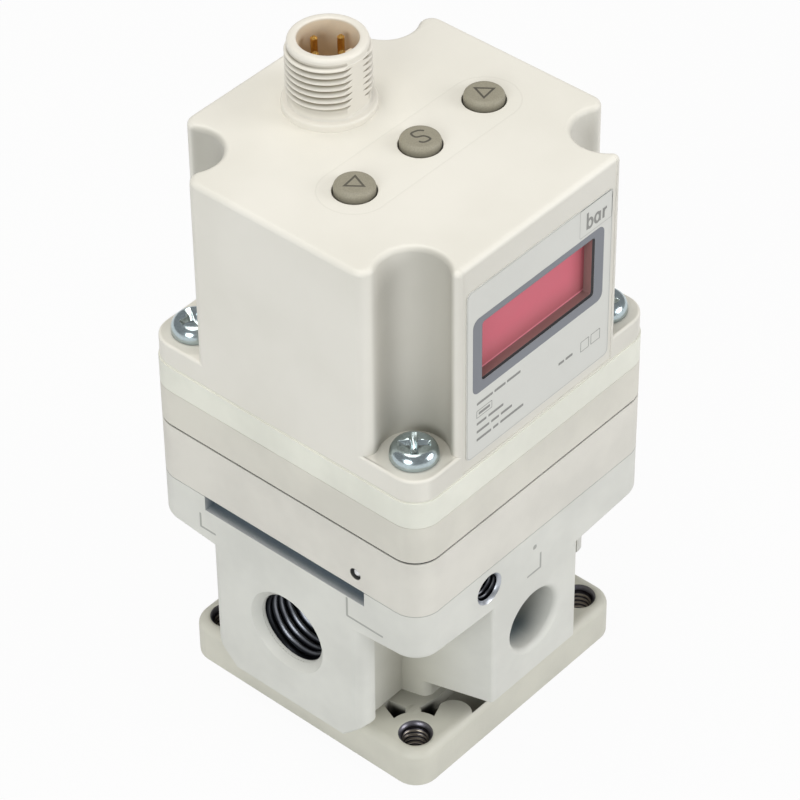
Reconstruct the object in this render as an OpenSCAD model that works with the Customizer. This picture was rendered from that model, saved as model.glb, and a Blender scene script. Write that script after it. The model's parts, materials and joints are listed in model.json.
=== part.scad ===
// Electro pneumatic regulator: a stack of square plates with air ports below and a moulded cover above.
// Millimetres. The origin is the middle of the base's underside, +Z is up, the display faces -Y and the
// supply port faces -X.

/* [Plates] */
// Width of the square plates of the stack
body_w = 50; // [46:0.5:60]
// Corner radius of the plates
corner_r = 4.2; // [2:0.1:5]
// Width of the base plate
base_w = 45; // [43:0.5:50]
// Thickness of the base plate
base_t = 6.4; // [6:0.1:10]
// Corner radius of the base plate
base_corner_r = 3.6; // [2.5:0.1:5]
// Rounding of the base plate's top edge
base_edge_r = 1.4; // [0.5:0.1:2]
// Distance of the base's threaded holes from its sides
base_hole_inset = 4.05; // [3.5:0.05:5]
// Height of the main body between the base and its flange
leg_h = 22; // [21.5:0.5:30]
// Thickness of the main body's flange
flange_t = 8.4; // [7.5:0.1:12]
// Thickness of the diaphragm housing
housing_t = 9.8; // [7:0.1:15]
// Thickness of the diaphragm sheet
diaphragm_t = 0.3; // [0.2:0.05:0.6]
// How far the diaphragm's edge lies inside the plates
diaphragm_inset = 0.2; // [0:0.05:0.5]
// Thickness of the pilot block
pilot_t = 6.3; // [6:0.1:10]
// Thickness of the manifold plate
manifold_t = 4.5; // [3.5:0.1:8]
// Thickness of the cover gasket
gasket_t = 0.3; // [0.2:0.05:0.6]
// How far the cover gasket's edge lies inside the plates
gasket_inset = 0.4; // [0:0.05:0.8]

/* [Ports] */
// Height of the port axes above the base plate
port_rise = 13.1; // [12.5:0.1:14]
// Bore of the large ports, inside the thread
port_d = 11.45; // [9:0.05:12]
// Width of the large ports' mouth
port_mouth_d = 13.7; // [12.5:0.1:14.5]
// Depth of the large ports
port_depth = 13; // [12:0.1:13.5]
// Width of the bosses that carry the supply and output ports
boss_w = 29.2; // [28:0.1:32]
// Chamfer of those bosses' lower corners
boss_chamfer = 4.2; // [2:0.1:6]
// Rounding of those bosses' upright edges
boss_edge_r = 2; // [0.5:0.1:3]
// Width of the two narrow bosses at their faces
side_boss_w = 18.5; // [17:0.1:22]
// How far the narrow bosses reach below the port axis
side_boss_drop = 10; // [8.5:0.1:12]
// Mouth of the cored blind port
core_port_d = 10; // [8:0.1:12]
// Depth of the cored blind port
core_port_depth = 13; // [4:0.1:14]
// Bore of the small pilot exhaust port
pilot_port_d = 4.2; // [3:0.1:5]
// Threaded depth of the pilot exhaust port
pilot_port_depth = 7; // [5:0.1:8]
// Place of the pilot exhaust port, left of the middle
pilot_port_x = 10.1; // [9.5:0.1:12]
// Depth of that port's axis below the flange's top
pilot_port_drop = 3.9; // [3.5:0.1:4]
// Width of the slot in the flange's supply side
slot_w = 30; // [20:0.5:32]
// Height of that slot
slot_h = 2.6; // [1.5:0.1:3]
// Depth of that slot
slot_depth = 3.2; // [2:0.1:4]

/* [Valve] */
// Width of the valve chambers in the main body
chamber_d = 17.2; // [16.5:0.1:18]
// Bore of the main valve's seat
seat_d = 10; // [8:0.1:11]
// Thickness of the seat web
seat_t = 3; // [2.5:0.1:3.2]
// Width of the main valve's head
valve_head_d = 14; // [13:0.1:15]
// Diameter of the main valve's lower stem
valve_stem_d = 6; // [5:0.1:7]
// Diameter of the diaphragm's stem
rod_d = 5; // [4:0.1:5.5]
// Width of the diaphragm chamber
diaphragm_d = 26; // [24:0.1:27]
// Width of the plates that clamp the diaphragm
plate_d = 20; // [16:0.1:21]
// Running clearance of the stems and plungers, on the radius
run_gap = 0.05; // [0.03:0.01:0.08]
// Bore of the air passages
passage_d = 1.8; // [1.2:0.1:2]

/* [Cover] */
// Height of the cover
cover_h = 34.8; // [34:0.1:45]
// Wall of the cover
cover_wall = 1.6; // [1.2:0.1:2]
// Thickness of the cover's top
cover_top = 1.8; // [1.4:0.1:2.5]
// How far the cover stands inside the plates, on each side
cover_step = 0.2; // [0:0.05:0.5]
// Thickness of the ledges under the cover screws
ledge_t = 3.5; // [2.5:0.1:5]
// Radius of the screw pockets
pocket_r = 4.85; // [4.2:0.05:5.2]
// Rounding of the pockets' lips
lip_r = 0.9; // [0.5:0.1:1.3]
// Distance of the cover screws from the plates' sides
screw_inset = 5; // [4.8:0.1:5.5]
// Diameter of the cover screws
screw_d = 3.9; // [3:0.1:4]
// Width of their heads
screw_head_d = 6.8; // [6:0.1:7.4]
// Height of their heads
screw_head_h = 2.4; // [1.8:0.1:3]
// How far the screws reach into the main body
screw_grip = 6; // [4:0.1:6.2]

/* [Display] */
// Distance from the plates' side to the window's opening
window_side = 13.65; // [13:0.05:16]
// Height of the window's opening
window_h = 10; // [8:0.1:10.5]
// Distance of the window's middle below the cover's top
window_drop = 15.7; // [15:0.1:17]
// Distance from the plates' side to the label sheet
label_side = 10.05; // [10:0.05:11.5]
// Height of the label sheet
label_h = 28.8; // [26:0.1:29]
// Distance of the label's upper edge below the cover's top
label_drop = 4.4; // [3:0.1:5]
// Distance from the plates' side to the flat panel that takes the label
panel_side = 9.15; // [9:0.05:9.75]
// Thickness of the label, and depth of the panel
label_t = 0.15; // [0.1:0.01:0.25]
// Thickness of the boards
board_t = 1.6; // [1:0.1:2]

/* [Buttons] */
// Diameter of the buttons
button_d = 6.2; // [5:0.1:7]
// Gap round the buttons
button_gap = 0.2; // [0.1:0.02:0.3]
// Height of the buttons above the cover
button_h = 1.26; // [0.8:0.02:2]
// Distance between neighbouring buttons
button_pitch = 13.1; // [12:0.1:13.5]
// Place of the middle button along X
button_x = 1.1; // [0:0.1:1.5]
// Place of the button row along Y
button_y = -3; // [-4:0.1:-2.5]
// Travel of the buttons
button_travel = 0.5; // [0.3:0.05:0.8]

/* [Connector] */
// Distance of the connector's middle from the back of the plates
connector_inset = 12.8; // [12:0.1:13.2]
// Height of the connector above the cover
connector_h = 11; // [9:0.1:14]
// Diameter of the connector's thread
connector_d = 11.9; // [11:0.1:12]
// Bore of the connector
connector_bore = 8.4; // [8:0.1:8.8]
// Depth of the space round the pins
socket_depth = 7.3; // [5:0.1:8]
// Radius of the circle of pins
pin_circle_r = 2.55; // [2.4:0.05:2.6]
// Diameter of the pins
pin_d = 1; // [0.8:0.05:1]

/* [Hidden] */
$fn = 64;
eps = 0.01;
past = 1;
half = body_w/2;

// Levels of the stack
z_body = base_t;
z_flange = z_body + leg_h;
z_housing = z_flange + flange_t;
z_sheet = z_housing + housing_t;
z_pilot = z_sheet + diaphragm_t;
z_manifold = z_pilot + pilot_t;
z_gasket = z_manifold + manifold_t;
z_cover = z_gasket + gasket_t;
z_top = z_cover + cover_h;
z_roof = z_top - cover_top;
z_ledge = z_cover + ledge_t;
port_z = z_body + port_rise;

// Cover and screws
cover_w = body_w - 2*cover_step;
cover_face = cover_w/2;
inner_face = cover_face - cover_wall;
screw_at = half - screw_inset;
pocket_at = screw_at - 0.2;
least_lip = 0.2;
screw_hole_d = screw_d + 0.5;
tap_d = screw_d + 0.14;
screw_end_gap = 0.5;
cross_turn = 20;

// Valve and diaphragm
seat_drop = 2.5;
way_w = 8;
way_h = 4.2;
way_in = 0.6;
way_lap = 2;
way_end = 6;
z_seat = port_z - seat_drop;
seat_rubber_t = 1;
head_t = 2.5;
valve_wire = 0.7;
small_wire = 0.4;
z_head = z_seat - seat_rubber_t - head_t;
z_touch = z_seat + 5;
upper_stem_d = valve_stem_d - 0.4;
vent_d = valve_stem_d - 2.8;
web_t = 3;
recess_h = 3.3;
recess_d = diaphragm_d - 1;
z_web = z_housing - recess_h - web_t;
guide_t = 3;
guide_gap = 0.1;
guide_d = chamber_d - 0.4;
guide_boss_d = valve_stem_d + 2;
guide_boss_h = 1.6;
z_guide = z_body - guide_t;
vent_floor = 1.6;
vent_room_d = valve_stem_d + 3;
stem_end_gap = 0.6;
riser_d = 2.8;
riser_reach = 0.4;
riser_y = half - port_depth + riser_reach;
lower_plate_t = 2.2;
upper_plate_t = 1.5;
stem_nut_h = 2;
stem_nut_d = 8;
rod_end_d = rod_d - 1.2;
rod_end_over = 0.2;
pilot_roof = 1.3;
thread_gap = 0.05;
fold_room = 0.3;
feed_inset = 9;
feed_x = half - feed_inset;
feedback_d = 1.6;
feedback_x = 6;
pilot_drill_d = 2.4;
pilot_mouth = 0.5;
core_draft_w = 0.8;
ball_rise = 2.6;
pilot_run_inset = 11.54;
pilot_run_y = half - pilot_run_inset;

// Seals
seal_d = 1;
seal_room = 0.1;
seal_ease = 0.04;
groove_h = seal_d + 2*seal_room;
base_seal_r = chamber_d/2 + 1;
body_seal_r = diaphragm_d/2 + 1.2;

// Label panel, and the display behind its window, between the walls of the screw pockets
pocket_wall = pocket_at - pocket_r - cover_wall;
window_w = body_w - 2*window_side;
label_w = body_w - 2*label_side;
panel_w = body_w - 2*panel_side;
window_t = 1;
window_lap = 1.2;
display_gap = 0.3;
display_t = 3.4;
display_w = window_w + 0.3;
display_h = window_h - 0.6;
display_board_gap = 0.3;
display_board_w = 2*(pocket_wall - display_board_gap);
display_board_h = 21;
window_z = z_top - window_drop;
display_board_y = -inner_face + window_t + display_gap + display_t;
label_r = 0.9;

// Pilot valves and sensor: middle of each, the two ports, and half of the block's size
valve_h = 20.5;
nozzle_bore = 0.8;
plunger_d = 4;
plunger_h = 8;
plunger_floor = 2;
plunger_room = 5;
z_plunger = z_gasket + plunger_floor;
valve_play = 0.7;
valve_space = 0.8;
exhaust_half = [8, 5.6];
exhaust_shift = 13.8;
exhaust_at = [exhaust_shift - pocket_at, display_board_y + board_t + valve_play + exhaust_half[1]];
exhaust_in = [exhaust_at[0] + 4, exhaust_at[1] + 1.6];
exhaust_out = [-pilot_port_x, -pilot_run_y];
supply_half = [5.4, 6.7];
supply_at = [2.4 - feed_x, exhaust_at[1] + exhaust_half[1] + valve_space + supply_half[1]];
supply_in = [-feed_x, 0];
supply_out = [-diaphragm_d/2 + 2, 4];
valve_screw_d = 1.6;
valve_screw_in = 1;
valve_screw_grip = 3;
lead_d = 0.7;
lead_out_x = 3;
lead_play = 0.2;
lead_circle_r = 2.5;
lead_over = 0.8;
sensor_at = [feed_x, 0];
sensor_d = 9;
sensor_h = 8.3;
nozzle_d = 3.2;
nozzle_h = 1.5;

// Buttons, switches and boards
button_flange_d = button_d + 2.2;
button_flange_t = 0.8;
button_stem_d = 2.4;
switch_w = 6;
switch_h = 3;
switch_well_d = 3;
spring_room = 2.6;
stem_dip = 1.2;
well_end_gap = 0.3;
switch_well_h = stem_dip + button_travel + well_end_gap;
z_switch_top = z_roof - button_flange_t - spring_room;
z_board_top = z_switch_top - switch_h;
z_board = z_board_top - board_t;
button_places = [for (i = [-1:1]) [button_x + i*button_pitch, button_y]];
post_d = 4;
post_screw_d = 2.4;
post_screw_depth = 7;
post_head_h = 1.4;
board_side_gap = 2.2;
board_pocket_gap = 0.85;
board_back_gap = 5.2;
board_arm_w = 2*(pocket_wall - board_pocket_gap);
board_size = [2*(inner_face - board_side_gap), board_arm_w];
board_arm_back = inner_face - board_back_gap;
post_edge = [2.5, 1.5];
post_play = 0.4;
front_post = [board_size[0]/2 - post_edge[0], post_edge[1] - board_size[1]/2];
back_post = [-supply_at[0] - supply_half[0] - post_play - post_d/2, supply_at[1] + 0.5];
post_places = [for (x = [-1, 1], at = [front_post, back_post]) [x*at[0], at[1]]];

// Connector
connector_y = half - connector_inset;
collar_d = connector_d + 1.3;
collar_t = 1.1;
connector_tail = 5.3;
tail_d = connector_d + 0.1;
tail_gap = 0.1;
connector_chamfer = 0.5;
connector_gasket_t = 0.6;
connector_nut_h = 2.2;
connector_nut_d = 17;
connector_gasket_d = connector_nut_d*cos(30) - 0.2;
insert_lip = 1.5;
insert_step_w = 0.7;
insert_gap = 0.05;
pin_gap = 0.03;
pin_tip = 0.25;
pin_below_rim = 1.2;
pin_below_board = 1;
key_w = 1.2;
key_h = 0.7;
key_root = 0.5;
flat_w = 2.8;
flat_depth = 0.6;
z_rim = z_top + connector_h;
z_tail = z_top - connector_tail;
z_insert_top = z_rim - socket_depth;

// Base
base_hole_at = base_w/2 - base_hole_inset;
base_hole_d = 4.2;
base_hole_mouth = 5.6;
base_screw_d = 3.2;
base_screw_head_d = 6.4;
base_screw_inset = 5.5;
base_screw_x = base_w/2 - base_screw_inset;
base_screw_y = 8;
base_screw_grip = 6;
cone_play = 0.06;
base_key_d = 2.4;
base_key_h = 1.4;
screw_play = 0.3;
sink = 0.2;
pocket_depth = 4.4;
pocket_neck_w = 1.1;
pocket_neck_at = base_hole_at - 1.8;
pocket_lobe = [base_hole_at - 3.05, base_hole_at + 0.05];
pocket_end = base_hole_at - 3.55;
hole_boss_r = 4.3;
side_boss_r = 0.6;
pad_r = 2.7;
pad_at = [side_boss_w/2 + pad_r, base_w/2 - 2.5];
land_depth = 2.2;
land_edge = 0.6;
land_y = pocket_neck_at - pocket_neck_w/2;
rim_gap = 0.1;
rim_x = base_w/2 + rim_gap;
rim_drop = 0.7;
bar_inset = 3.3;
bar_half = boss_w/2 - bar_inset;
side_flare = 3.85;
side_lean = atan2(side_flare, half - bar_half);
core_reach = boss_w/2 + 0.6;
core_r = 1.6;

// Shared shapes

// A rectangle with round corners, in the middle of the plane
module rounded_rect(size, r) {
  square([size[0], size[1] - 2*r], center = true);
  square([size[0] - 2*r, size[1]], center = true);
  for (x = [-1, 1], y = [-1, 1])
    translate([x*(size[0]/2 - r), y*(size[1]/2 - r)]) circle(r);
}

// A square plate of the stack from height z
module plate(z, t, inset = 0) {
  w = body_w - 2*inset;
  translate([0, 0, z]) linear_extrude(t) rounded_rect([w, w], corner_r - inset);
}

// One child at each of the four cover screws
module at_screws() {
  for (x = [-1, 1], y = [-1, 1])
    translate([x*screw_at, y*screw_at, 0]) children();
}

// An upright hole through a plate
module drill(at, d, z, h) {
  translate([at[0], at[1], z - past]) cylinder(d = d, h = h + 2*past);
}

// A straight channel with a flat floor from one place to another
module channel(from, to, w, z, h) {
  run = to - from;
  translate([from[0], from[1], z]) rotate(atan2(run[1], run[0]))
    translate([0, -w/2, 0]) cube([norm(run), w, h]);
}

// A round seal of section seal_d that lies in the plane at height z
module ring_seal(r, z, d = seal_d) {
  translate([0, 0, z]) rotate_extrude() translate([r, 0]) circle(d = d);
}

// The groove for a round seal, open at its top
module seal_groove(r, z, h, d = seal_d) {
  w = d + 2*seal_room;
  translate([0, 0, z]) rotate_extrude() translate([r - w/2, 0]) square([w, h]);
}

// One ring of points round a spring's wire
function wire_ring(r, wire, sides, angle, z) = [
  for (k = [0:sides - 1])
    let (t = 360*k/sides, q = r + wire/2*cos(t))
    [q*cos(angle), q*sin(angle), z + wire/2*sin(t)]
];

// A coil spring that stands on the plane
module coil_spring(r, wire, h, turns) {
  sides = 6;
  steps = 12*turns;
  rise = h - wire;
  points = [
    for (i = [0:steps])
      each wire_ring(r, wire, sides, 360*turns*i/steps, wire/2 + rise*i/steps)
  ];
  skin = [
    for (i = [0:steps - 1], k = [0:sides - 1])
      let (a = i*sides + k, b = i*sides + (k + 1) % sides)
      each [[a, b, b + sides], [a, b + sides, a + sides]]
  ];
  start = [for (k = [sides - 1:-1:0]) k];
  end = [for (k = [0:sides - 1]) steps*sides + k];
  polyhedron(points, concat(skin, [start, end]));
}

// A domed screw head with a cross recess, standing on the plane
module pan_head(d, h) {
  rise = h/2;
  ball_r = (d*d/4 + rise*rise)/(2*rise);
  arm = 0.62*d;
  difference() {
    intersection() {
      cylinder(d = d, h = h);
      translate([0, 0, h - ball_r]) sphere(ball_r);
    }
    for (a = [0, 90])
      rotate(a) translate([-arm/2, -0.07*d, 0.45*h]) cube([arm, 0.14*d, h]);
  }
}

// Half of the air ports' cutter: a bore along +X from the mouth at the origin
module port_cut(d, mouth_d, depth) {
  chamfer = (mouth_d - d)/2;
  rotate([0, 90, 0]) {
    translate([0, 0, -past]) cylinder(d = d, h = depth + past);
    translate([0, 0, -eps]) cylinder(d1 = mouth_d + 2*eps, d2 = d, h = chamfer + eps);
  }
}

// Base

module base_blank() {
  hull()
    for (x = [-1, 1], y = [-1, 1])
      translate([x*(base_w/2 - base_corner_r), y*(base_w/2 - base_corner_r), 0])
        rotate_extrude($fn = 32) {
          square([base_corner_r, base_t - base_edge_r]);
          square([base_corner_r - base_edge_r, base_t]);
          translate([base_corner_r - base_edge_r, base_t - base_edge_r])
            intersection() {
              circle(base_edge_r);
              square(base_edge_r);
            }
        }
}

// The two pockets beside one corner hole, each between the hole's own round boss and a neck
module corner_pockets() {
  neck = [pocket_neck_at - pocket_neck_w/2, pocket_neck_at + pocket_neck_w/2];
  for (flip = [0, 1])
    translate([0, 0, base_t - pocket_depth]) linear_extrude(pocket_depth + past)
      mirror([flip, -flip])
        difference() {
          polygon([[neck[0], bar_half], [neck[1], bar_half],
                   [pocket_lobe[1], pocket_end], [pocket_lobe[0], pocket_end]]);
          translate([base_hole_at, base_hole_at]) circle(hole_boss_r);
        }
}

// The recess under a narrow boss, with a round pad of the base left at each end
module boss_recess() {
  translate([0, 0, base_t - land_depth]) linear_extrude(land_depth + past)
    difference() {
      translate([-pad_at[0], land_y]) square([2*pad_at[0], base_w/2 - land_edge - land_y]);
      for (x = [-1, 1])
        translate([x*pad_at[0], pad_at[1]]) circle(pad_r);
    }
}

module base_plate() {
  mouth_h = (base_hole_mouth - base_hole_d)/2;
  cone_h = (base_screw_head_d - base_screw_d)/2 + sink;
  cone_d = base_screw_d + cone_play;
  color([0.80, 0.78, 0.72])
    difference() {
      base_blank();
      for (x = [0, 1], y = [0, 1])
        mirror([x, 0, 0]) mirror([0, y, 0]) {
          drill([base_hole_at, base_hole_at], base_hole_d, 0, base_t);
          translate([base_hole_at, base_hole_at, base_t - mouth_h])
            cylinder(d1 = base_hole_d, d2 = base_hole_mouth + 2*eps, h = mouth_h + eps);
          corner_pockets();
          drill([base_screw_x, base_screw_y], base_screw_d + screw_play, 0, base_t);
          translate([base_screw_x, base_screw_y, -eps])
            cylinder(d1 = cone_d + 2*cone_h + 2*eps, d2 = cone_d, h = cone_h + eps);
        }
      for (y = [0, 1])
        mirror([0, y, 0]) boss_recess();
      translate([0, 0, z_guide]) cylinder(d = guide_d + 2*guide_gap, h = guide_t + past);
      translate([0, 0, vent_floor]) cylinder(d = vent_room_d, h = z_guide - vent_floor + eps);
      channel([0, 0], [0, riser_y], riser_d, vent_floor, z_guide - vent_floor);
      translate([0, riser_y, vent_floor]) cylinder(d = riser_d, h = base_t);
      seal_groove(base_seal_r, base_t - seal_d, seal_d + past);
    }
}

module base_screws() {
  head_h = (base_screw_head_d - base_screw_d)/2;
  color([0.62, 0.64, 0.66])
    for (x = [-1, 1], y = [-1, 1])
      translate([x*base_screw_x, y*base_screw_y, 0])
        difference() {
          union() {
            translate([0, 0, sink]) cylinder(d1 = base_screw_head_d, d2 = base_screw_d, h = head_h);
            translate([0, 0, sink]) cylinder(d = base_screw_d, h = base_t + base_screw_grip - sink);
          }
          cylinder(d = base_key_d, h = base_key_h, $fn = 6);
        }
}

module base_seal() {
  color([0.10, 0.10, 0.10]) ring_seal(base_seal_r, base_t - seal_d/2);
}

// Main body

// The outline of a wide boss seen along its port, from its foot up into the flange
module boss_face(foot) {
  side = boss_w/2;
  flat = side - boss_chamfer;
  top = z_flange + past;
  polygon([[-flat, foot], [flat, foot], [side, foot + boss_chamfer], [side, top],
           [-side, top], [-side, foot + boss_chamfer]]);
}

// The wide bosses along X. Behind their rims they are narrower, and each rim hangs over the base's edge.
module wide_bosses() {
  foot = z_body - rim_drop;
  difference() {
    intersection() {
      translate([0, 0, foot - past])
        linear_extrude(z_flange - foot + 3*past) rounded_rect([body_w, boss_w], boss_edge_r);
      translate([-half - past, 0, 0]) rotate([90, 0, 90]) linear_extrude(body_w + 2*past) boss_face(foot);
    }
    translate([-rim_x, -half, foot - past]) cube([2*rim_x, body_w, rim_drop + past]);
    for (y = [0, 1])
      mirror([0, y, 0]) translate([-rim_x, bar_half, foot - past])
        cube([2*rim_x, bar_inset + past, z_flange - foot + past]);
  }
}

// A narrow boss seen from above, which gets narrower towards its end, with rounded corners there
module boss_plan(reach, r) {
  root = side_boss_w/2 + side_flare;
  end = root - (reach - bar_half)*tan(side_lean);
  cut = r/tan((90 + side_lean)/2);
  turn = [end + cut*sin(side_lean), reach - cut*cos(side_lean)];
  polygon([[-root, 0], [root, 0], [root, bar_half], turn, [end - cut, reach],
           [cut - end, reach], [-turn[0], turn[1]], [-root, bar_half]]);
  for (x = [-1, 1])
    translate([x*(end - cut), reach - r]) circle(r);
}

module body_blank() {
  side_foot = port_z - side_boss_drop;
  plate(z_flange, flange_t);
  wide_bosses();
  for (y = [0, 1])
    mirror([0, y, 0]) {
      translate([0, 0, z_body]) linear_extrude(leg_h) boss_plan(core_reach, core_r);
      translate([0, 0, side_foot]) linear_extrude(z_flange + past - side_foot) boss_plan(half, side_boss_r);
    }
}

// Chambers, stem bore and the ways between them
module body_chambers() {
  translate([0, 0, z_body - past]) cylinder(d = chamber_d, h = z_seat - z_body + past);
  translate([0, 0, z_seat - past]) cylinder(d = seat_d, h = seat_t + 2*past);
  translate([0, 0, z_seat + seat_t]) cylinder(d = chamber_d, h = z_web - z_seat - seat_t);
  translate([0, 0, z_web - past]) cylinder(d = rod_d + 2*run_gap, h = web_t + 2*past);
  translate([feedback_x, 0, z_web - past]) cylinder(d = feedback_d, h = web_t + 2*past);
  translate([0, 0, z_web + web_t]) cylinder(d = recess_d, h = recess_h + past);
  stem_groove();
  translate([-half + port_depth - way_lap, -way_w/2, z_seat - way_h - way_in])
    cube([half - port_depth + way_lap - way_end, way_w, way_h]);
  translate([way_end, -way_w/2, z_seat + seat_t + way_in])
    cube([half - port_depth + way_lap - way_end, way_w, way_h]);
  translate([0, riser_y, z_body - past]) cylinder(d = riser_d, h = port_rise - seat_drop + past);
  for (x = [-1, 1])
    translate([x*feed_x, 0, port_z]) cylinder(d = passage_d, h = z_housing - port_z + past);
}

module stem_groove() {
  r = rod_d/2 + run_gap;
  translate([0, 0, z_web + (web_t - groove_h)/2])
    rotate_extrude() translate([r - eps, 0]) square([seal_d + eps, groove_h]);
}

// Threaded ports, the blind port and the pilot exhaust with its way up
module body_ports() {
  translate([-half, 0, port_z]) port_cut(port_d, port_mouth_d, port_depth);
  translate([half, 0, port_z]) rotate(180) port_cut(port_d, port_mouth_d, port_depth);
  translate([0, half, port_z]) rotate(-90) port_cut(port_d, port_mouth_d, port_depth);
  translate([0, -half, port_z]) rotate([-90, 0, 0]) {
    translate([0, 0, -past]) cylinder(d = core_port_d, h = past + eps);
    cylinder(d1 = core_port_d, d2 = core_port_d - 2*core_draft_w, h = core_port_depth);
  }
  translate([-pilot_port_x, -half, z_housing - pilot_port_drop]) rotate(90) {
    port_cut(pilot_port_d, pilot_port_d + 2*pilot_mouth, pilot_port_depth);
    rotate([0, 90, 0]) cylinder(d = pilot_drill_d, h = half - pilot_run_y);
  }
  translate([-pilot_port_x, -pilot_run_y, z_housing - pilot_port_drop])
    cylinder(d = passage_d, h = pilot_port_drop + past);
}

module main_body() {
  color([0.83, 0.83, 0.80])
    difference() {
      body_blank();
      body_chambers();
      body_ports();
      seal_groove(body_seal_r, z_housing - seal_d, seal_d + past);
      translate([-half - past, -slot_w/2, z_housing - slot_h])
        cube([slot_depth + past, slot_w, slot_h + past]);
      at_screws()
        translate([0, 0, z_housing - screw_grip - screw_end_gap])
          cylinder(d = tap_d, h = screw_grip + screw_end_gap + past);
      for (x = [-1, 1], y = [-1, 1])
        translate([x*base_screw_x, y*base_screw_y, z_body - past])
          cylinder(d = base_screw_d + 2*thread_gap, h = base_screw_grip + screw_end_gap + past);
    }
}

// Main valve

module valve_guide() {
  color([0.72, 0.60, 0.34])
    difference() {
      union() {
        translate([0, 0, z_guide]) cylinder(d = guide_d, h = guide_t);
        translate([0, 0, z_body - eps]) cylinder(d = guide_boss_d, h = guide_boss_h + eps);
      }
      drill([0, 0], valve_stem_d + 2*run_gap, z_guide, guide_t + guide_boss_h);
      translate([0, 0, z_guide + (guide_t - groove_h)/2])
        rotate_extrude() translate([valve_stem_d/2 + run_gap - eps, 0]) square([seal_d + eps, groove_h]);
    }
}

module guide_seal() {
  color([0.10, 0.10, 0.10])
    ring_seal(valve_stem_d/2 + run_gap + seal_d/2, z_guide + guide_t/2, seal_d - seal_ease);
}

module main_valve() {
  z_end = z_guide + stem_end_gap;
  color([0.74, 0.74, 0.76])
    difference() {
      union() {
        translate([0, 0, z_end]) cylinder(d = valve_stem_d, h = z_head - z_end + eps);
        translate([0, 0, z_head]) cylinder(d = valve_head_d, h = head_t);
        translate([0, 0, z_head + head_t - eps])
          cylinder(d = upper_stem_d, h = z_touch - z_head - head_t + eps);
      }
      drill([0, 0], vent_d, z_end, z_touch - z_end);
    }
}

module valve_seat_rubber() {
  color([0.16, 0.16, 0.16])
    translate([0, 0, z_seat - seat_rubber_t])
      difference() {
        cylinder(d = valve_head_d - 2*sink, h = seat_rubber_t);
        drill([0, 0], upper_stem_d, 0, seat_rubber_t);
      }
}

module valve_spring() {
  color([0.70, 0.71, 0.73])
    translate([0, 0, z_body]) coil_spring(guide_boss_d/2 + 1, valve_wire, z_head - z_body, 5);
}

module stem_seal() {
  color([0.10, 0.10, 0.10])
    ring_seal(rod_d/2 + run_gap + seal_d/2, z_web + web_t/2, seal_d - seal_ease);
}

// Diaphragm and its stem

module diaphragm_stem() {
  z_shoulder = z_sheet - lower_plate_t;
  end_h = lower_plate_t + diaphragm_t + upper_plate_t + stem_nut_h + rod_end_over;
  color([0.74, 0.74, 0.76]) {
    translate([0, 0, z_touch]) cylinder(d = rod_d, h = z_shoulder - z_touch);
    translate([0, 0, z_shoulder - eps]) cylinder(d = rod_end_d, h = end_h + eps);
  }
}

// A plate on the stem's threaded end
module stem_plate(z, t, d) {
  translate([0, 0, z])
    difference() {
      cylinder(d = d, h = t);
      drill([0, 0], rod_end_d + 2*thread_gap, 0, t);
    }
}

module diaphragm_lower_plate() {
  color([0.78, 0.78, 0.80]) stem_plate(z_sheet - lower_plate_t, lower_plate_t, plate_d);
}

module diaphragm_upper_plate() {
  color([0.78, 0.78, 0.80]) stem_plate(z_pilot, upper_plate_t, plate_d);
}

module stem_nut() {
  color([0.66, 0.67, 0.69])
    translate([0, 0, z_pilot + upper_plate_t])
      difference() {
        cylinder(d = stem_nut_d, h = stem_nut_h, $fn = 6);
        drill([0, 0], rod_end_d + 2*thread_gap, 0, stem_nut_h);
      }
}

module air_passages(z, h) {
  for (x = [-1, 1])
    drill([x*feed_x, 0], passage_d, z, h);
  drill([-pilot_port_x, -pilot_run_y], passage_d, z, h);
}

module diaphragm() {
  fold_r = (plate_d + diaphragm_d)/4;
  fold = (diaphragm_d - plate_d)/4 - fold_room;
  color([0.12, 0.12, 0.12]) {
    difference() {
      plate(z_sheet, diaphragm_t, diaphragm_inset);
      drill([0, 0], rod_end_d + 2*thread_gap, z_sheet, diaphragm_t);
      air_passages(z_sheet, diaphragm_t);
      at_screws() drill([0, 0], screw_hole_d, z_sheet, diaphragm_t);
      translate([0, 0, z_sheet - past])
        rotate_extrude() translate([fold_r - fold + diaphragm_t, 0])
          square([2*fold - 2*diaphragm_t, 3*past]);
    }
    translate([0, 0, z_pilot])
      rotate_extrude() translate([fold_r, 0])
        difference() {
          intersection() {
            circle(fold);
            translate([-fold, -fold]) square([2*fold, fold]);
          }
          circle(fold - diaphragm_t);
        }
  }
}

module body_seal() {
  color([0.10, 0.10, 0.10]) ring_seal(body_seal_r, z_housing - seal_d/2);
}

// The plates above

module diaphragm_housing() {
  color([0.84, 0.82, 0.79])
    difference() {
      plate(z_housing, housing_t);
      drill([0, 0], diaphragm_d, z_housing, housing_t);
      air_passages(z_housing, housing_t);
      at_screws() drill([0, 0], screw_hole_d, z_housing, housing_t);
      translate([-half - past, -pilot_run_y, z_housing + ball_rise]) rotate([0, 90, 0])
        cylinder(d = passage_d, h = half - pilot_port_x + past);
    }
}

module ball_plug() {
  ball_d = passage_d - seal_ease;
  color([0.80, 0.80, 0.82])
    translate([-half + ball_d/2 + sink, -pilot_run_y, z_housing + ball_rise]) sphere(d = ball_d);
}

module pilot_block() {
  color([0.82, 0.81, 0.77])
    difference() {
      plate(z_pilot, pilot_t);
      translate([0, 0, z_pilot - past]) cylinder(d = diaphragm_d, h = pilot_t - pilot_roof + past);
      air_passages(z_pilot, pilot_t);
      drill(supply_out, passage_d, z_pilot, pilot_t);
      drill(exhaust_in, passage_d, z_pilot, pilot_t);
      at_screws() drill([0, 0], screw_hole_d, z_pilot, pilot_t);
    }
}

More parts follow.
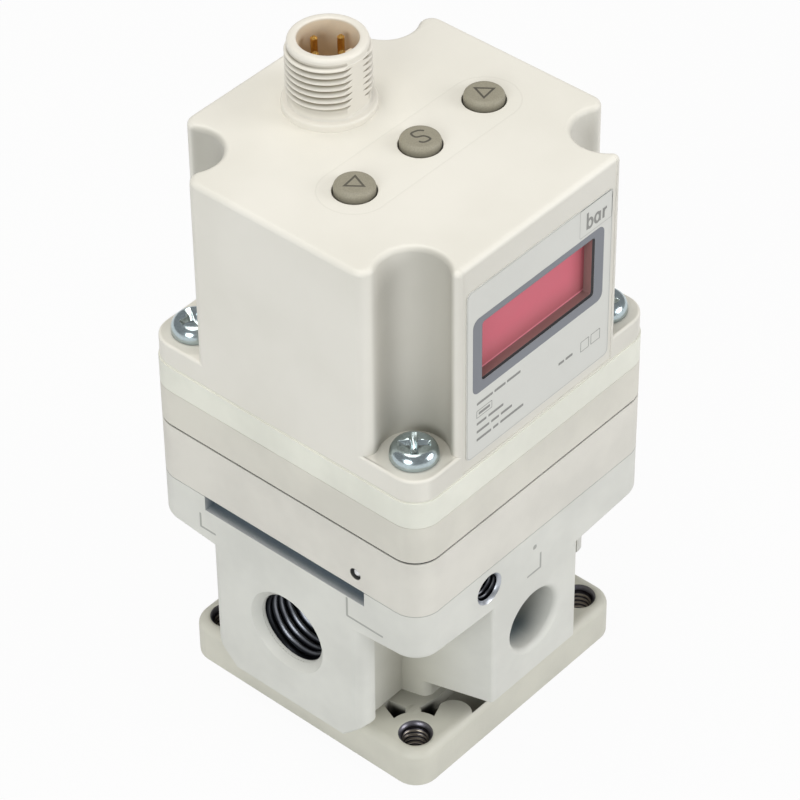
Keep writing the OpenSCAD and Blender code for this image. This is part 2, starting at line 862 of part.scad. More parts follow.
// The screws of one pilot valve, at two opposite corners of its block
module at_valve_screws(at, size) {
  for (s = [-1, 1])
    translate([at[0] + s*(size[0] - valve_screw_in), at[1] + s*(size[1] - valve_screw_in), 0]) children();
}

module manifold_plate() {
  color([0.88, 0.88, 0.83])
    difference() {
      plate(z_manifold, manifold_t);
      for (at = [supply_in, supply_out, exhaust_in, exhaust_out, sensor_at])
        drill(at, passage_d, z_manifold, manifold_t);
      translate([sensor_at[0], sensor_at[1], z_gasket - nozzle_h])
        cylinder(d = nozzle_d + 2*seal_d, h = nozzle_h + past);
      at_screws() drill([0, 0], screw_hole_d, z_manifold, manifold_t);
      at_valve_screws(supply_at, supply_half) valve_screw_tap();
      at_valve_screws(exhaust_at, exhaust_half) valve_screw_tap();
    }
}

module valve_screw_tap() {
  depth = valve_screw_grip + screw_end_gap;
  translate([0, 0, z_gasket - depth]) cylinder(d = valve_screw_d + 2*thread_gap, h = depth + past);
}

// A pilot valve: a block with a closed bore, for a plunger on its floor and a spring above the plunger
module pilot_valve(at, size, inlet, outlet) {
  bore_d = plunger_d + 2*run_gap;
  difference() {
    union() {
      translate([at[0] - size[0], at[1] - size[1], z_gasket]) cube([2*size[0], 2*size[1], valve_h]);
      for (s = [-1, 1])
        translate([at[0] + lead_out_x*s, at[1], z_gasket + valve_h - eps])
          cylinder(d = lead_d, h = z_board_top + lead_over - z_gasket - valve_h);
    }
    translate([at[0], at[1], z_plunger]) cylinder(d = bore_d, h = plunger_h + plunger_room);
    translate([inlet[0], inlet[1], z_gasket - past]) cylinder(d = passage_d, h = plunger_floor + past);
    channel(inlet, at, nozzle_bore, z_plunger - nozzle_bore, nozzle_bore + eps);
    translate([at[0], at[1], z_gasket - past]) cylinder(d = nozzle_bore, h = plunger_floor + 2*past);
    channel(at, outlet, nozzle_bore, z_gasket - past, past + 0.6*nozzle_bore);
    at_valve_screws(at, size) drill([0, 0], valve_screw_d + lead_play, z_gasket, valve_h);
  }
}

module plunger(at) {
  translate([at[0], at[1], z_plunger]) cylinder(d = plunger_d, h = plunger_h);
}

module plunger_spring(at) {
  translate([at[0], at[1], z_plunger + plunger_h])
    coil_spring(plunger_d/2 - 0.5, small_wire, plunger_room, 5);
}

module supply_pilot_valve() {
  color([0.20, 0.21, 0.22]) pilot_valve(supply_at, supply_half, supply_in, supply_out);
}

module supply_plunger() {
  color([0.62, 0.63, 0.65]) plunger(supply_at);
}

module supply_plunger_spring() {
  color([0.70, 0.71, 0.73]) plunger_spring(supply_at);
}

module exhaust_pilot_valve() {
  color([0.20, 0.21, 0.22]) pilot_valve(exhaust_at, exhaust_half, exhaust_in, exhaust_out);
}

module exhaust_plunger() {
  color([0.62, 0.63, 0.65]) plunger(exhaust_at);
}

module exhaust_plunger_spring() {
  color([0.70, 0.71, 0.73]) plunger_spring(exhaust_at);
}

module pilot_valve_screws() {
  color([0.66, 0.67, 0.69]) {
    at_valve_screws(supply_at, supply_half) valve_screw();
    at_valve_screws(exhaust_at, exhaust_half) valve_screw();
  }
}

module valve_screw() {
  translate([0, 0, z_gasket - valve_screw_grip])
    cylinder(d = valve_screw_d, h = valve_screw_grip + valve_h + eps);
  translate([0, 0, z_gasket + valve_h]) pan_head(2*valve_screw_d, valve_screw_d);
}

module sensor_leads(d, z, h) {
  for (a = [30:60:150])
    rotate(a) translate([lead_circle_r, 0, z]) cylinder(d = d, h = h);
}

module pressure_sensor() {
  top = z_gasket + sensor_h;
  color([0.60, 0.62, 0.64])
    translate([sensor_at[0], sensor_at[1], 0])
      difference() {
        union() {
          translate([0, 0, z_gasket]) cylinder(d = sensor_d, h = sensor_h);
          translate([0, 0, z_gasket - nozzle_h]) cylinder(d = nozzle_d, h = nozzle_h + eps);
          sensor_leads(lead_d, top - eps, z_board_top + lead_over - top);
        }
        drill([0, 0], nozzle_bore, z_gasket - nozzle_h, nozzle_h);
      }
}

module sensor_seal() {
  color([0.10, 0.10, 0.10])
    translate([sensor_at[0], sensor_at[1], 0])
      ring_seal((nozzle_d + seal_d)/2, z_gasket - nozzle_h + seal_d/2, seal_d - seal_ease);
}

// Boards and display

module board_posts() {
  color([0.74, 0.66, 0.42])
    for (at = post_places)
      difference() {
        translate([at[0], at[1], z_gasket]) cylinder(d = post_d, h = z_board - z_gasket, $fn = 6);
        translate([at[0], at[1], z_board - post_screw_depth - screw_end_gap])
          cylinder(d = post_screw_d + 2*thread_gap, h = post_screw_depth + screw_end_gap + past);
      }
}

module board_screws() {
  color([0.66, 0.67, 0.69])
    for (at = post_places) {
      translate([at[0], at[1], z_board - post_screw_depth])
        cylinder(d = post_screw_d, h = post_screw_depth + board_t + eps);
      translate([at[0], at[1], z_board_top]) pan_head(post_d, post_head_h);
    }
}

module control_board() {
  front = -display_board_y;
  color([0.10, 0.36, 0.22])
    difference() {
      translate([0, 0, z_board]) linear_extrude(board_t) {
        square(board_size, center = true);
        translate([-board_arm_w/2, -front]) square([board_arm_w, front + board_arm_back]);
      }
      for (at = post_places)
        drill(at, post_screw_d + lead_play, z_board, board_t);
      pin_places() drill([0, 0], pin_d + lead_play, z_board, board_t);
      for (at = [supply_at, exhaust_at], s = [-1, 1])
        drill([at[0] + lead_out_x*s, at[1]], lead_d + lead_play, z_board, board_t);
      translate([sensor_at[0], sensor_at[1], 0])
        sensor_leads(lead_d + lead_play, z_board - past, board_t + 2*past);
    }
}

module tact_switches() {
  color([0.14, 0.14, 0.15])
    for (at = button_places)
      difference() {
        translate([at[0] - switch_w/2, at[1] - switch_w/2, z_board_top])
          cube([switch_w, switch_w, switch_h]);
        translate([at[0], at[1], z_switch_top - switch_well_h])
          cylinder(d = switch_well_d, h = switch_well_h + past);
      }
}

module display_board() {
  color([0.10, 0.36, 0.22])
    translate([-display_board_w/2, display_board_y, z_board - display_board_h])
      cube([display_board_w, board_t, display_board_h]);
}

module led_display() {
  color([0.08, 0.08, 0.09])
    translate([-display_w/2, display_board_y - display_t, window_z - display_h/2])
      cube([display_w, display_t, display_h]);
}

module display_window() {
  color([0.78, 0.30, 0.38])
    translate([-window_w/2 - window_lap, -inner_face, window_z - window_h/2 - window_lap])
      cube([window_w + 2*window_lap, window_t, window_h + 2*window_lap]);
}

// Cover

// What one screw pocket takes from the cover's outline at its +X +Y corner. Each lip is a small circle
// that touches the face and the pocket's circle.
module corner_pocket(face, r, lip) {
  mid = [pocket_at, pocket_at];
  lip_x = face - lip;
  lip_y = pocket_at - sqrt(pow(r + lip, 2) - pow(lip_x - pocket_at, 2));
  out = face + past;
  difference() {
    union() {
      translate(mid) circle(r);
      polygon([mid, [lip_x, lip_y], [out, lip_y], [out, out], [lip_y, out], [lip_y, lip_x]]);
    }
    translate([lip_x, lip_y]) circle(lip);
    translate([lip_y, lip_x]) circle(lip);
  }
}

// The cover's outline, drawn in from its faces
module cover_outline(inset) {
  face = cover_face - inset;
  difference() {
    square(2*face, center = true);
    for (x = [0, 1], y = [0, 1])
      mirror([x, 0]) mirror([0, y]) corner_pocket(face, pocket_r + inset, max(lip_r - inset, least_lip));
  }
}

module cover_gasket() {
  color([0.30, 0.30, 0.29])
    difference() {
      plate(z_gasket, gasket_t, gasket_inset);
      translate([0, 0, z_gasket - past]) linear_extrude(gasket_t + 2*past) cover_outline(cover_wall);
      at_screws() drill([0, 0], screw_hole_d, z_gasket, gasket_t);
    }
}

module cover() {
  color([0.92, 0.91, 0.87])
    difference() {
      union() {
        translate([0, 0, z_cover])
          linear_extrude(ledge_t) rounded_rect([cover_w, cover_w], corner_r - cover_step);
        translate([0, 0, z_cover]) linear_extrude(cover_h) cover_outline(0);
      }
      translate([0, 0, z_cover - past]) linear_extrude(z_roof - z_cover + past) cover_outline(cover_wall);
      at_screws() drill([0, 0], screw_hole_d, z_cover, ledge_t);
      for (at = button_places)
        drill(at, button_d + 2*button_gap, z_roof, cover_top);
      drill([0, connector_y], tail_d + 2*tail_gap, z_roof, cover_top);
      translate([-window_w/2, -cover_face - past, window_z - window_h/2])
        cube([window_w, cover_wall + 2*past, window_h]);
      translate([-panel_w/2, -cover_face - past, z_cover - past])
        cube([panel_w, past + label_t, cover_h + 2*past]);
    }
}

module front_label() {
  color([0.85, 0.86, 0.85])
    translate([0, -cover_face + label_t, z_top - label_drop - label_h/2]) rotate([90, 0, 0])
      linear_extrude(label_t)
        difference() {
          rounded_rect([label_w, label_h], label_r);
          translate([0, label_h/2 + label_drop - window_drop]) square([window_w, window_h], center = true);
        }
}

module cover_screws() {
  color([0.70, 0.74, 0.77])
    at_screws() {
      translate([0, 0, z_housing - screw_grip])
        cylinder(d = screw_d, h = z_ledge - z_housing + screw_grip + eps);
      translate([0, 0, z_ledge]) rotate(cross_turn) pan_head(screw_head_d, screw_head_h);
    }
}

// Buttons

module button(at) {
  shoulder = min(1, button_h);
  z_cap = z_top + button_h;
  r = button_d/2;
  translate([at[0], at[1], 0]) {
    translate([0, 0, z_roof - button_flange_t]) cylinder(d = button_flange_d, h = button_flange_t);
    translate([0, 0, z_roof - eps])
      rotate_extrude() {
        square([r, z_cap - shoulder - z_roof + eps]);
        square([r - shoulder, z_cap - z_roof + eps]);
        translate([r - shoulder, z_cap - shoulder - z_roof + eps])
          intersection() {
            circle(shoulder);
            square(shoulder);
          }
      }
    translate([0, 0, z_switch_top - stem_dip])
      cylinder(d = button_stem_d, h = z_roof - button_flange_t - z_switch_top + stem_dip + eps);
  }
}

module button_spring(at) {
  translate([at[0], at[1], z_switch_top]) coil_spring(button_stem_d/2 + 0.8, small_wire, spring_room, 3);
}

module up_button() {
  color([0.55, 0.53, 0.47]) button(button_places[0]);
}

module set_button() {
  color([0.55, 0.53, 0.47]) button(button_places[1]);
}

module down_button() {
  color([0.55, 0.53, 0.47]) button(button_places[2]);
}

module up_button_spring() {
  color([0.70, 0.71, 0.73]) button_spring(button_places[0]);
}

module set_button_spring() {
  color([0.70, 0.71, 0.73]) button_spring(button_places[1]);
}

module down_button_spring() {
  color([0.70, 0.71, 0.73]) button_spring(button_places[2]);
}

// Connector

module connector_shell() {
  r = connector_d/2;
  bore = connector_bore/2;
  lip_bore = bore - insert_step_w;
  z_collar = z_top + collar_t;
  z_lip = z_tail + insert_lip;
  profile = [
    [lip_bore, z_tail], [tail_d/2, z_tail], [tail_d/2, z_top], [collar_d/2, z_top],
    [collar_d/2, z_collar], [r, z_collar], [r, z_rim - connector_chamfer],
    [r - connector_chamfer, z_rim], [bore, z_rim], [bore, z_lip], [lip_bore, z_lip]
  ];
  color([0.91, 0.89, 0.85])
    translate([0, connector_y, 0])
      difference() {
        union() {
          rotate_extrude() polygon(profile);
          translate([-key_w/2, -bore - key_root, z_insert_top])
            cube([key_w, key_h + key_root, socket_depth - connector_chamfer]);
        }
        translate([-flat_w/2, -r - past, z_collar]) cube([flat_w, past + flat_depth, connector_h]);
      }
}

module pin_places() {
  for (a = [0:90:270])
    translate([pin_circle_r*cos(a), connector_y + pin_circle_r*sin(a), 0]) children();
}

module connector_insert() {
  z = z_tail + insert_lip;
  color([0.62, 0.52, 0.38])
    difference() {
      translate([0, connector_y, z]) cylinder(d = connector_bore - 2*insert_gap, h = z_insert_top - z);
      pin_places() drill([0, 0], pin_d + 2*pin_gap, z, z_insert_top - z);
    }
}

module contact_pins() {
  z = z_board - pin_below_board;
  z_tip = z_rim - pin_below_rim - pin_tip;
  color([0.80, 0.58, 0.18])
    pin_places() {
      translate([0, 0, z]) cylinder(d = pin_d, h = z_tip - z);
      translate([0, 0, z_tip - eps]) cylinder(d1 = pin_d, d2 = pin_d - 2*pin_tip, h = pin_tip + eps);
    }
}

module connector_gasket() {
  color([0.10, 0.10, 0.10])
    translate([0, connector_y, z_roof - connector_gasket_t])
      difference() {
        cylinder(d = connector_gasket_d, h = connector_gasket_t);
        drill([0, 0], tail_d + tail_gap, 0, connector_gasket_t);
      }
}

module connector_nut() {
  color([0.72, 0.73, 0.74])
    translate([0, connector_y, z_roof - connector_gasket_t - connector_nut_h])
      difference() {
        cylinder(d = connector_nut_d, h = connector_nut_h, $fn = 6);
        drill([0, 0], tail_d + tail_gap, 0, connector_nut_h);
      }
}

base_plate();
base_screws();
base_seal();
main_body();
valve_guide();
guide_seal();
main_valve();
valve_seat_rubber();
valve_spring();
stem_seal();
diaphragm_stem();
diaphragm_lower_plate();
diaphragm();
diaphragm_upper_plate();
stem_nut();
body_seal();
diaphragm_housing();
ball_plug();
pilot_block();
manifold_plate();
supply_pilot_valve();
supply_plunger();
supply_plunger_spring();
exhaust_pilot_valve();
exhaust_plunger();
exhaust_plunger_spring();
pilot_valve_screws();
pressure_sensor();
sensor_seal();
board_posts();
board_screws();
control_board();
tact_switches();
display_board();
led_display();
display_window();
cover_gasket();
cover();
front_label();
up_button();
set_button();
down_button();
up_button_spring();
set_button_spring();
down_button_spring();
connector_shell();
connector_insert();
contact_pins();
connector_gasket();
connector_nut();
cover_screws();
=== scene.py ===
# %% [markdown]
# # An electro pneumatic regulator
# The real object turns an electric signal into an air pressure. Cast plates are stacked on a base, a moulded
# cover with a red display stands on them, and a round screw connector takes a plug. The CAD model has every
# solid already, so this lesson keeps the places and gives each visible piece its soft edges and its finish.

import json
from math import atan2, cos, hypot, pi, radians, sin, sqrt, tau

import bmesh
import bpy
from mathutils import Matrix, Vector


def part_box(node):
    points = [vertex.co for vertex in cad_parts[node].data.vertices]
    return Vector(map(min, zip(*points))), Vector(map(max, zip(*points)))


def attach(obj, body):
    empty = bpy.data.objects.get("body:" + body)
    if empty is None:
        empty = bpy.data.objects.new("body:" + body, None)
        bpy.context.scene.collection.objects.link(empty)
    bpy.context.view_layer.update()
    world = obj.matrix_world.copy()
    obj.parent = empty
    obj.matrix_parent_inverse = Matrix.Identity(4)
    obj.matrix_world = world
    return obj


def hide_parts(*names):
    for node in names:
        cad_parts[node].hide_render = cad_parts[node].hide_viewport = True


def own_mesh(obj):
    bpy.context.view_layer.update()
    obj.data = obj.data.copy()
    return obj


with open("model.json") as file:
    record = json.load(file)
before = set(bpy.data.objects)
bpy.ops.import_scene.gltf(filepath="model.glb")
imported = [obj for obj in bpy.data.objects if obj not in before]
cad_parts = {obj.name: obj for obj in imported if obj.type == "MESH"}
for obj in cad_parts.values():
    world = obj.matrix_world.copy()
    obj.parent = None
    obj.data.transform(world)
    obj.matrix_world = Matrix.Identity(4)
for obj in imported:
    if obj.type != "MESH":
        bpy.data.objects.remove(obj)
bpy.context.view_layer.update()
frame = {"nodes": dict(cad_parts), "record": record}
nodes = frame["nodes"]
scene = bpy.context.scene
MM, QUARTER = 0.001, pi/2


def put(name, data):
    """A new object in the scene."""
    thing = bpy.data.objects.new(name, data)
    scene.collection.objects.link(thing)
    return thing


# %% [markdown]
# ## Camera
# The photograph looks down on the front corner through a long lens. Its place was found by fitting the edges of
# the plates, so the camera is set from those numbers instead of by hand.

# %% Camera
AZIMUTH, ELEVATION, ROLL = (radians(angle) for angle in (-48.402, 41.086, -0.671))
AIM_RIGHT, AIM_UP, DISTANCE = -0.123*MM, 46.799*MM, 518.146*MM
FILM_WIDTH, LENS, NEAREST = 36, 165.43, 0.01
right = Vector((cos(AZIMUTH), sin(AZIMUTH), 0))
back = Vector((sin(AZIMUTH), -cos(AZIMUTH), 0))*cos(ELEVATION)
back.z = sin(ELEVATION)
up = back.cross(right)
level = right*cos(ROLL) + up*sin(ROLL)
upright = up*cos(ROLL) - right*sin(ROLL)
stand = right*AIM_RIGHT + Vector((0, 0, AIM_UP)) + back*DISTANCE
camera = put("camera", bpy.data.cameras.new("camera"))
camera.matrix_world = Matrix.Translation(stand) @ Matrix((level, upright, back)).transposed().to_4x4()
camera.data.sensor_width, camera.data.lens, camera.data.clip_start = FILM_WIDTH, LENS, NEAREST
scene.camera = camera
print("camera at", [round(v, 4) for v in stand])

# %% [markdown]
# ## A way to write finishes
# A finish is a net of shader nodes, which is slow to wire by hand. `Wire` stands for one socket, and arithmetic
# on it adds Math nodes, so a mask reads like a formula. `Finish` owns the material: one method adds any other
# node, and small helpers give places in millimetres, noise and mixed colours.

# %% Wires
class Wire:
    def __init__(self, finish, socket):
        self.finish, self.socket = finish, socket

    def math(self, operation, *others):
        return self.finish.node("ShaderNodeMath", {"operation": operation}, dict(enumerate((self, *others))))

    def __add__(self, other):
        return self.math("ADD", other)

    def __sub__(self, other):
        return self.math("SUBTRACT", other)

    def __rsub__(self, other):
        return self.finish.node("ShaderNodeMath", {"operation": "SUBTRACT"}, {0: other, 1: self})

    def __mul__(self, other):
        return self.math("MULTIPLY", other)

    def __abs__(self):
        return self.math("ABSOLUTE")

    __radd__, __rmul__ = __add__, __mul__

    def most(self, other):
        return self.math("MAXIMUM", other)

    def least(self, other):
        return self.math("MINIMUM", other)

    def reach(self, other):
        """The distance from an axis, from two offsets."""
        return (self*self + other*other).math("SQRT")

    def between(self, low, high):
        return self.finish.node("ShaderNodeMapRange", {"interpolation_type": "SMOOTHSTEP", "clamp": True},
                                {"Value": self, "From Min": low, "From Max": high})


print("wires ready")

# %% Finishes
class Finish:
    def __init__(self, name, owner=None, **sockets):
        self.material = owner or bpy.data.materials.new(name)
        self.material.use_nodes = True
        self.tree = self.material.node_tree
        self.shader = next(n for n in self.tree.nodes if n.type in {"BSDF_PRINCIPLED", "BACKGROUND"})
        for socket, value in sockets.items():
            self.shader.inputs[socket.replace("_", " ")].default_value = value

    def node(self, kind, settings=None, sockets=None, output=0):
        node = self.tree.nodes.new(kind)
        for key, value in (settings or {}).items():
            setattr(node, key, value)
        for key, value in (sockets or {}).items():
            if isinstance(value, Wire):
                self.tree.links.new(value.socket, node.inputs[key])
            else:
                node.inputs[key].default_value = value
        return Wire(self, node.outputs[output])

    def feed(self, socket, wire):
        self.tree.links.new(wire.socket, self.shader.inputs[socket])

    def place(self, stretch=(1, 1, 1)):
        spot = self.node("ShaderNodeTexCoord", output="Object")
        return self.node("ShaderNodeVectorMath", {"operation": "MULTIPLY"},
                         {0: spot, 1: [s/MM for s in stretch]})

    def axes(self):
        spot = self.place()
        return [self.node("ShaderNodeSeparateXYZ", {}, {0: spot}, output=i) for i in range(3)]

    def noise(self, per_mm, detail=2.0, roughness=0.5, stretch=(1, 1, 1)):
        return self.node("ShaderNodeTexNoise", {}, {"Vector": self.place(stretch), "Scale": per_mm,
                                                    "Detail": detail, "Roughness": roughness})

    def mix(self, factor, first, second):
        return self.node("ShaderNodeMix", {"data_type": "RGBA"}, {0: factor, 6: first, 7: second}, output=2)

    def skin(self, colour, roughness, height, depth):
        """Feed what changes over a surface."""
        self.feed("Base Color", colour)
        self.feed("Roughness", roughness)
        self.feed("Normal", self.node("ShaderNodeBump", {}, {"Height": height, "Distance": depth*MM}))


def tint(red, green, blue):
    """A screen colour of 0 to 255 as the linear numbers that a shader takes."""
    shares = (v/255 for v in (red, green, blue))
    return (*(v/12.92 if v <= 0.04045 else ((v + 0.055)/1.055)**2.4 for v in shares), 1.0)


def shade(colour, gain):
    return [min(1, v*gain) for v in colour[:3]] + [1]


def box_mask(u, v, box, corner, soft):
    """One inside a rounded box (u0, u1, v0, v1), none outside."""
    u0, u1, v0, v1 = box
    du = abs(u - (u0 + u1)/2) - ((u1 - u0)/2 - corner)
    dv = abs(v - (v0 + v1)/2) - ((v1 - v0)/2 - corner)
    distance = du.most(0.0).reach(dv.most(0.0)) + du.most(dv).least(0.0)
    return 1 - distance.between(corner - soft, corner + soft)


print("finish helpers ready")

# %% [markdown]
# ## Floor, room and lamps
# The photograph has a white ground and soft light from all around, with a little more from above. Floor and room
# look white to the camera through the Light Path node, but light the object less. Shiny pieces see the white
# floor and a plain room, which gives the screws dark and bright bands. A part of the floor's shading stays, and
# with it the shadow.

# %% Floor and room
FLOOR_HALF, FLOOR_WHITE, ROOM_LIGHT = 3, 0.95, 0.34


def seen_by(finish, first, *others):
    """One for the named kinds of ray, else none."""
    seen = finish.node("ShaderNodeLightPath", output=first)
    for name in others:
        seen = seen.most(finish.node("ShaderNodeLightPath", output=name))
    return seen


ground = Finish("white_floor", Base_Color=(0.56, 0.56, 0.56, 1), Roughness=0.9)
glow = ground.node("ShaderNodeEmission", {}, {"Color": (1, 1, 1, 1), "Strength": 1.0})
share = seen_by(ground, "Is Camera Ray", "Is Glossy Ray", "Is Transmission Ray")*FLOOR_WHITE
seen = ground.node("ShaderNodeMixShader", {}, {0: share, 2: glow})
ground.tree.links.new(ground.shader.outputs[0], seen.socket.node.inputs[1])
ground.tree.links.new(seen.socket, ground.tree.nodes["Material Output"].inputs["Surface"])

floor_mesh = bpy.data.meshes.new("floor")
floor_mesh.from_pydata([(x*FLOOR_HALF, y*FLOOR_HALF, 0) for x, y in ((-1, -1), (1, -1), (1, 1), (-1, 1))],
                       [], [(0, 1, 2, 3)])
floor_mesh.materials.append(ground.material)
put("floor", floor_mesh)

room = bpy.data.worlds.new("soft_room")
scene.world = room
soft_room = Finish("soft_room", owner=room, Color=(0.975, 0.985, 1.0, 1))
room_white = seen_by(soft_room, "Is Camera Ray", "Is Transmission Ray")*(1 - ROOM_LIGHT)
soft_room.feed("Strength", ROOM_LIGHT + room_white)
print("room light:", ROOM_LIGHT)

# %% Lamps
LAMPS = {"lamp_above": ((-0.05, 0.10, 1.0), 0.06, 0.60, 4.9, (1.0, 0.975, 0.92)),
         "lamp_left": ((-0.90, -0.22, 0.40), 0.05, 0.55, 4.1, (0.965, 0.99, 1.0)),
         "lamp_front": ((0.45, -0.84, 0.38), 0.05, 0.55, 4.6, (0.985, 0.99, 1.0))}
for name, (place, aim_z, size, power, colour) in LAMPS.items():
    light = bpy.data.lights.new(name, "AREA")
    light.shape, light.size, light.energy, light.color = "DISK", size, power, colour
    holder = put(name, light)
    holder.location = place
    holder.rotation_euler = (Vector((0, 0, aim_z)) - Vector(place)).to_track_quat("-Z", "Y").to_euler()
scene.view_settings.view_transform = "Standard"
print("lamps:", list(LAMPS))

# %% [markdown]
# ## A way to make shapes
# Most pieces are rings joined by bands, as on a lathe or in a loft, with flat caps that may have holes. `Shape`
# builds such a mesh in millimetres. A finished shape rides on its body and gets smooth shading that stops at
# sharp edges, with weighted normals so that flat faces look flat.

# %% Shapes
class Shape:
    def __init__(self):
        self.bm = bmesh.new()
        self.paint = 0

    def ring(self, points):
        return [self.bm.verts.new(Vector(p)*MM) for p in points]

    def level(self, points, z):
        return self.ring([(x, y, z) for x, y in points])

    def standing(self, box, corner, y, inset=0.0):
        """A ring round an upright rounded box at depth y."""
        return self.ring([(x, y, z) for x, z in rounded_box(smaller(box, inset), corner)])

    def face(self, corners):
        self.bm.faces.new(corners).material_index = self.paint

    def band(self, low, high, closed=True, skip=()):
        for i in range(len(low) if closed else len(low) - 1):
            j = (i + 1) % len(low)
            if i not in skip:
                self.face((low[i], low[j], high[j], high[i]))

    def bands(self, rings):
        for low, high in zip(rings, rings[1:]):
            self.band(low, high)

    def fill(self, *loops):
        ends = [pair for loop in loops for pair in zip(loop, loop[1:] + loop[:1])]
        edges = [self.bm.edges.get(pair) or self.bm.edges.new(pair) for pair in ends]
        bmesh.ops.triangle_fill(self.bm, use_beauty=True, use_dissolve=False, edges=edges)

    def solid(self, rings):
        self.bands(rings)
        self.fill(rings[0])
        self.fill(rings[-1])

    def turned(self, profile, centre, count):
        """The rings of a lathe profile of (radius, height)."""
        return [self.level(arc(centre, r, 0, tau, count)[:-1], z) for r, z in profile]

    def mesh(self, name, outward=True):
        if outward:
            bmesh.ops.recalc_face_normals(self.bm, faces=self.bm.faces)
        made = bpy.data.meshes.new(name)
        self.bm.to_mesh(made)
        self.bm.free()
        return made

    def piece(self, name, finishes, slot, outward=True, **how):
        return dress(self.mesh(name, outward), name, finishes, slot, **how)


def dress(mesh, name, finishes, slot, body="housing", replaces=(), sharp=32):
    for finish in finishes:
        mesh.materials.append(finish.material)
    mesh.shade_smooth()
    mesh.set_sharp_from_angle(angle=radians(sharp))
    piece = put(name, mesh)
    even = piece.modifiers.new("even shading", "WEIGHTED_NORMAL")
    even.keep_sharp = True
    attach(piece, body)
    if replaces:
        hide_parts(*replaces)
    print(name, "faces:", len(mesh.polygons))
    return piece


def cad_copy(node, merge):
    """A node's CAD mesh, with points nearer than merge made one."""
    copy = Shape()
    copy.bm.from_mesh(nodes[node].data)
    bmesh.ops.remove_doubles(copy.bm, verts=copy.bm.verts, dist=merge*MM)
    return copy


print("shapes ready")

# %% Outlines
def arc(centre, radius, start, end, steps):
    return [(centre[0] + radius*cos(start + (end - start)*i/steps),
             centre[1] + radius*sin(start + (end - start)*i/steps)) for i in range(steps + 1)]


def smaller(box, inset):
    u0, u1, v0, v1 = box
    return (u0 + inset, u1 - inset, v0 + inset, v1 - inset)


def rounded_box(box, radius, steps=5):
    """Points round a box, counter-clockwise from its lower right corner."""
    u0, u1, v0, v1 = smaller(box, radius)
    points = []
    for k, centre in enumerate([(u1, v0), (u1, v1), (u0, v1), (u0, v0)]):
        points += arc(centre, radius, QUARTER*(k - 1), QUARTER*k, steps)
    return points


def soft_edge(top, radius, steps):
    """(inset, height) of the rings of a rounded upper edge, from the wall up."""
    return [(radius*(1 - cos(t)), top - radius*(1 - sin(t)))
            for t in (QUARTER*i/steps for i in range(steps + 1))]


def smooth_path(points, steps=6):
    """A curve through the points, by a four-point spline."""
    path = []
    ends = [points[0]] + points + [points[-1]]
    for a, b, c, d in zip(ends, ends[1:], ends[2:], ends[3:]):
        for i in range(steps):
            t = i/steps
            path.append(tuple(0.5*(2*q + (r - p)*t + (2*p - 5*q + 4*r - s)*t*t + (3*q - p - 3*r + s)*t**3)
                              for p, q, r, s in zip(a, b, c, d)))
    return path + [points[-1]]


def ribbon(path, width, closed):
    """The two sides of a flat line along a path."""
    tightest, left, rightward = 0.35, [], []
    steps = [Vector((u - x, v - y)).normalized() for (x, y), (u, v) in zip(path, path[1:] + path[:1])]
    for i, (x, y) in enumerate(path):
        behind = steps[i - 1] if closed or i else steps[i]
        ahead = steps[i] if closed or i < len(path) - 1 else behind
        side = Vector((-ahead.y - behind.y, ahead.x + behind.x)).normalized()
        reach = width/2/max(tightest, side.dot(Vector((-ahead.y, ahead.x))))
        left.append((x + side.x*reach, y + side.y*reach))
        rightward.append((x - side.x*reach, y - side.y*reach))
    return rightward, left


print("outlines ready")

# %% [markdown]
# ## Paint on the castings
# The plates are die castings under a thin satin paint, each a slightly different warm grey. Up close such paint
# has a fine orange peel, faint clouds and tiny specks. All plates share one recipe and differ in colour, so that
# they look like one family. Masks draw what is too thin to model: short raised lines beside the ports, painted
# darker as their shade, and dirt along a seam. Other masks paint shade: deep in the blind port, in the corner
# spaces under the flange, round the ball plug, and near black in the base's pockets.

# %% Paint
HALF_PLATE, PLATE_CORNER = 25.0, 4.2
PORT_Z, CORED_R = 19.5, 5.0


def casting_paint(name, colour, marks=(), shade_and_dirt=None):
    paint = Finish(name, Specular_IOR_Level=0.42)
    peel = paint.noise(1.5, 2)
    grit = paint.noise(9.0, 2, 0.6)
    cloud = paint.noise(0.09, 3, 0.55)
    body = paint.mix(cloud.between(0.30, 0.70), shade(colour, 0.93), shade(colour, 1.035))
    body = paint.mix(grit.between(0.62, 0.78)*0.22, body, shade(colour, 0.72))
    height = peel*0.7 + grit*0.3
    if marks:
        x, y, z = paint.axes()
        lines = None
        for side, box in marks:
            u, depth = (y, x) if side == "left" else (x, y)
            corner = 0.45*min(box[1] - box[0], box[3] - box[2])
            on_face = 1 - depth.between(0.05 - HALF_PLATE, 0.1 - HALF_PLATE)
            line = box_mask(u, z, box, corner, 0.06)*on_face
            lines = line if lines is None else lines.most(line)
        # The raised lines are painted darker than the paint round them, as painted shade of their relief.
        body = paint.mix(lines*0.9, body, shade(colour, 0.5))
        height = height + lines*1.5
    if shade_and_dirt:
        body = shade_and_dirt(paint, body, colour)
    paint.skin(body, 0.40 + cloud*0.14 + grit*0.08, height, 0.02)
    return paint


print("paint recipe ready")

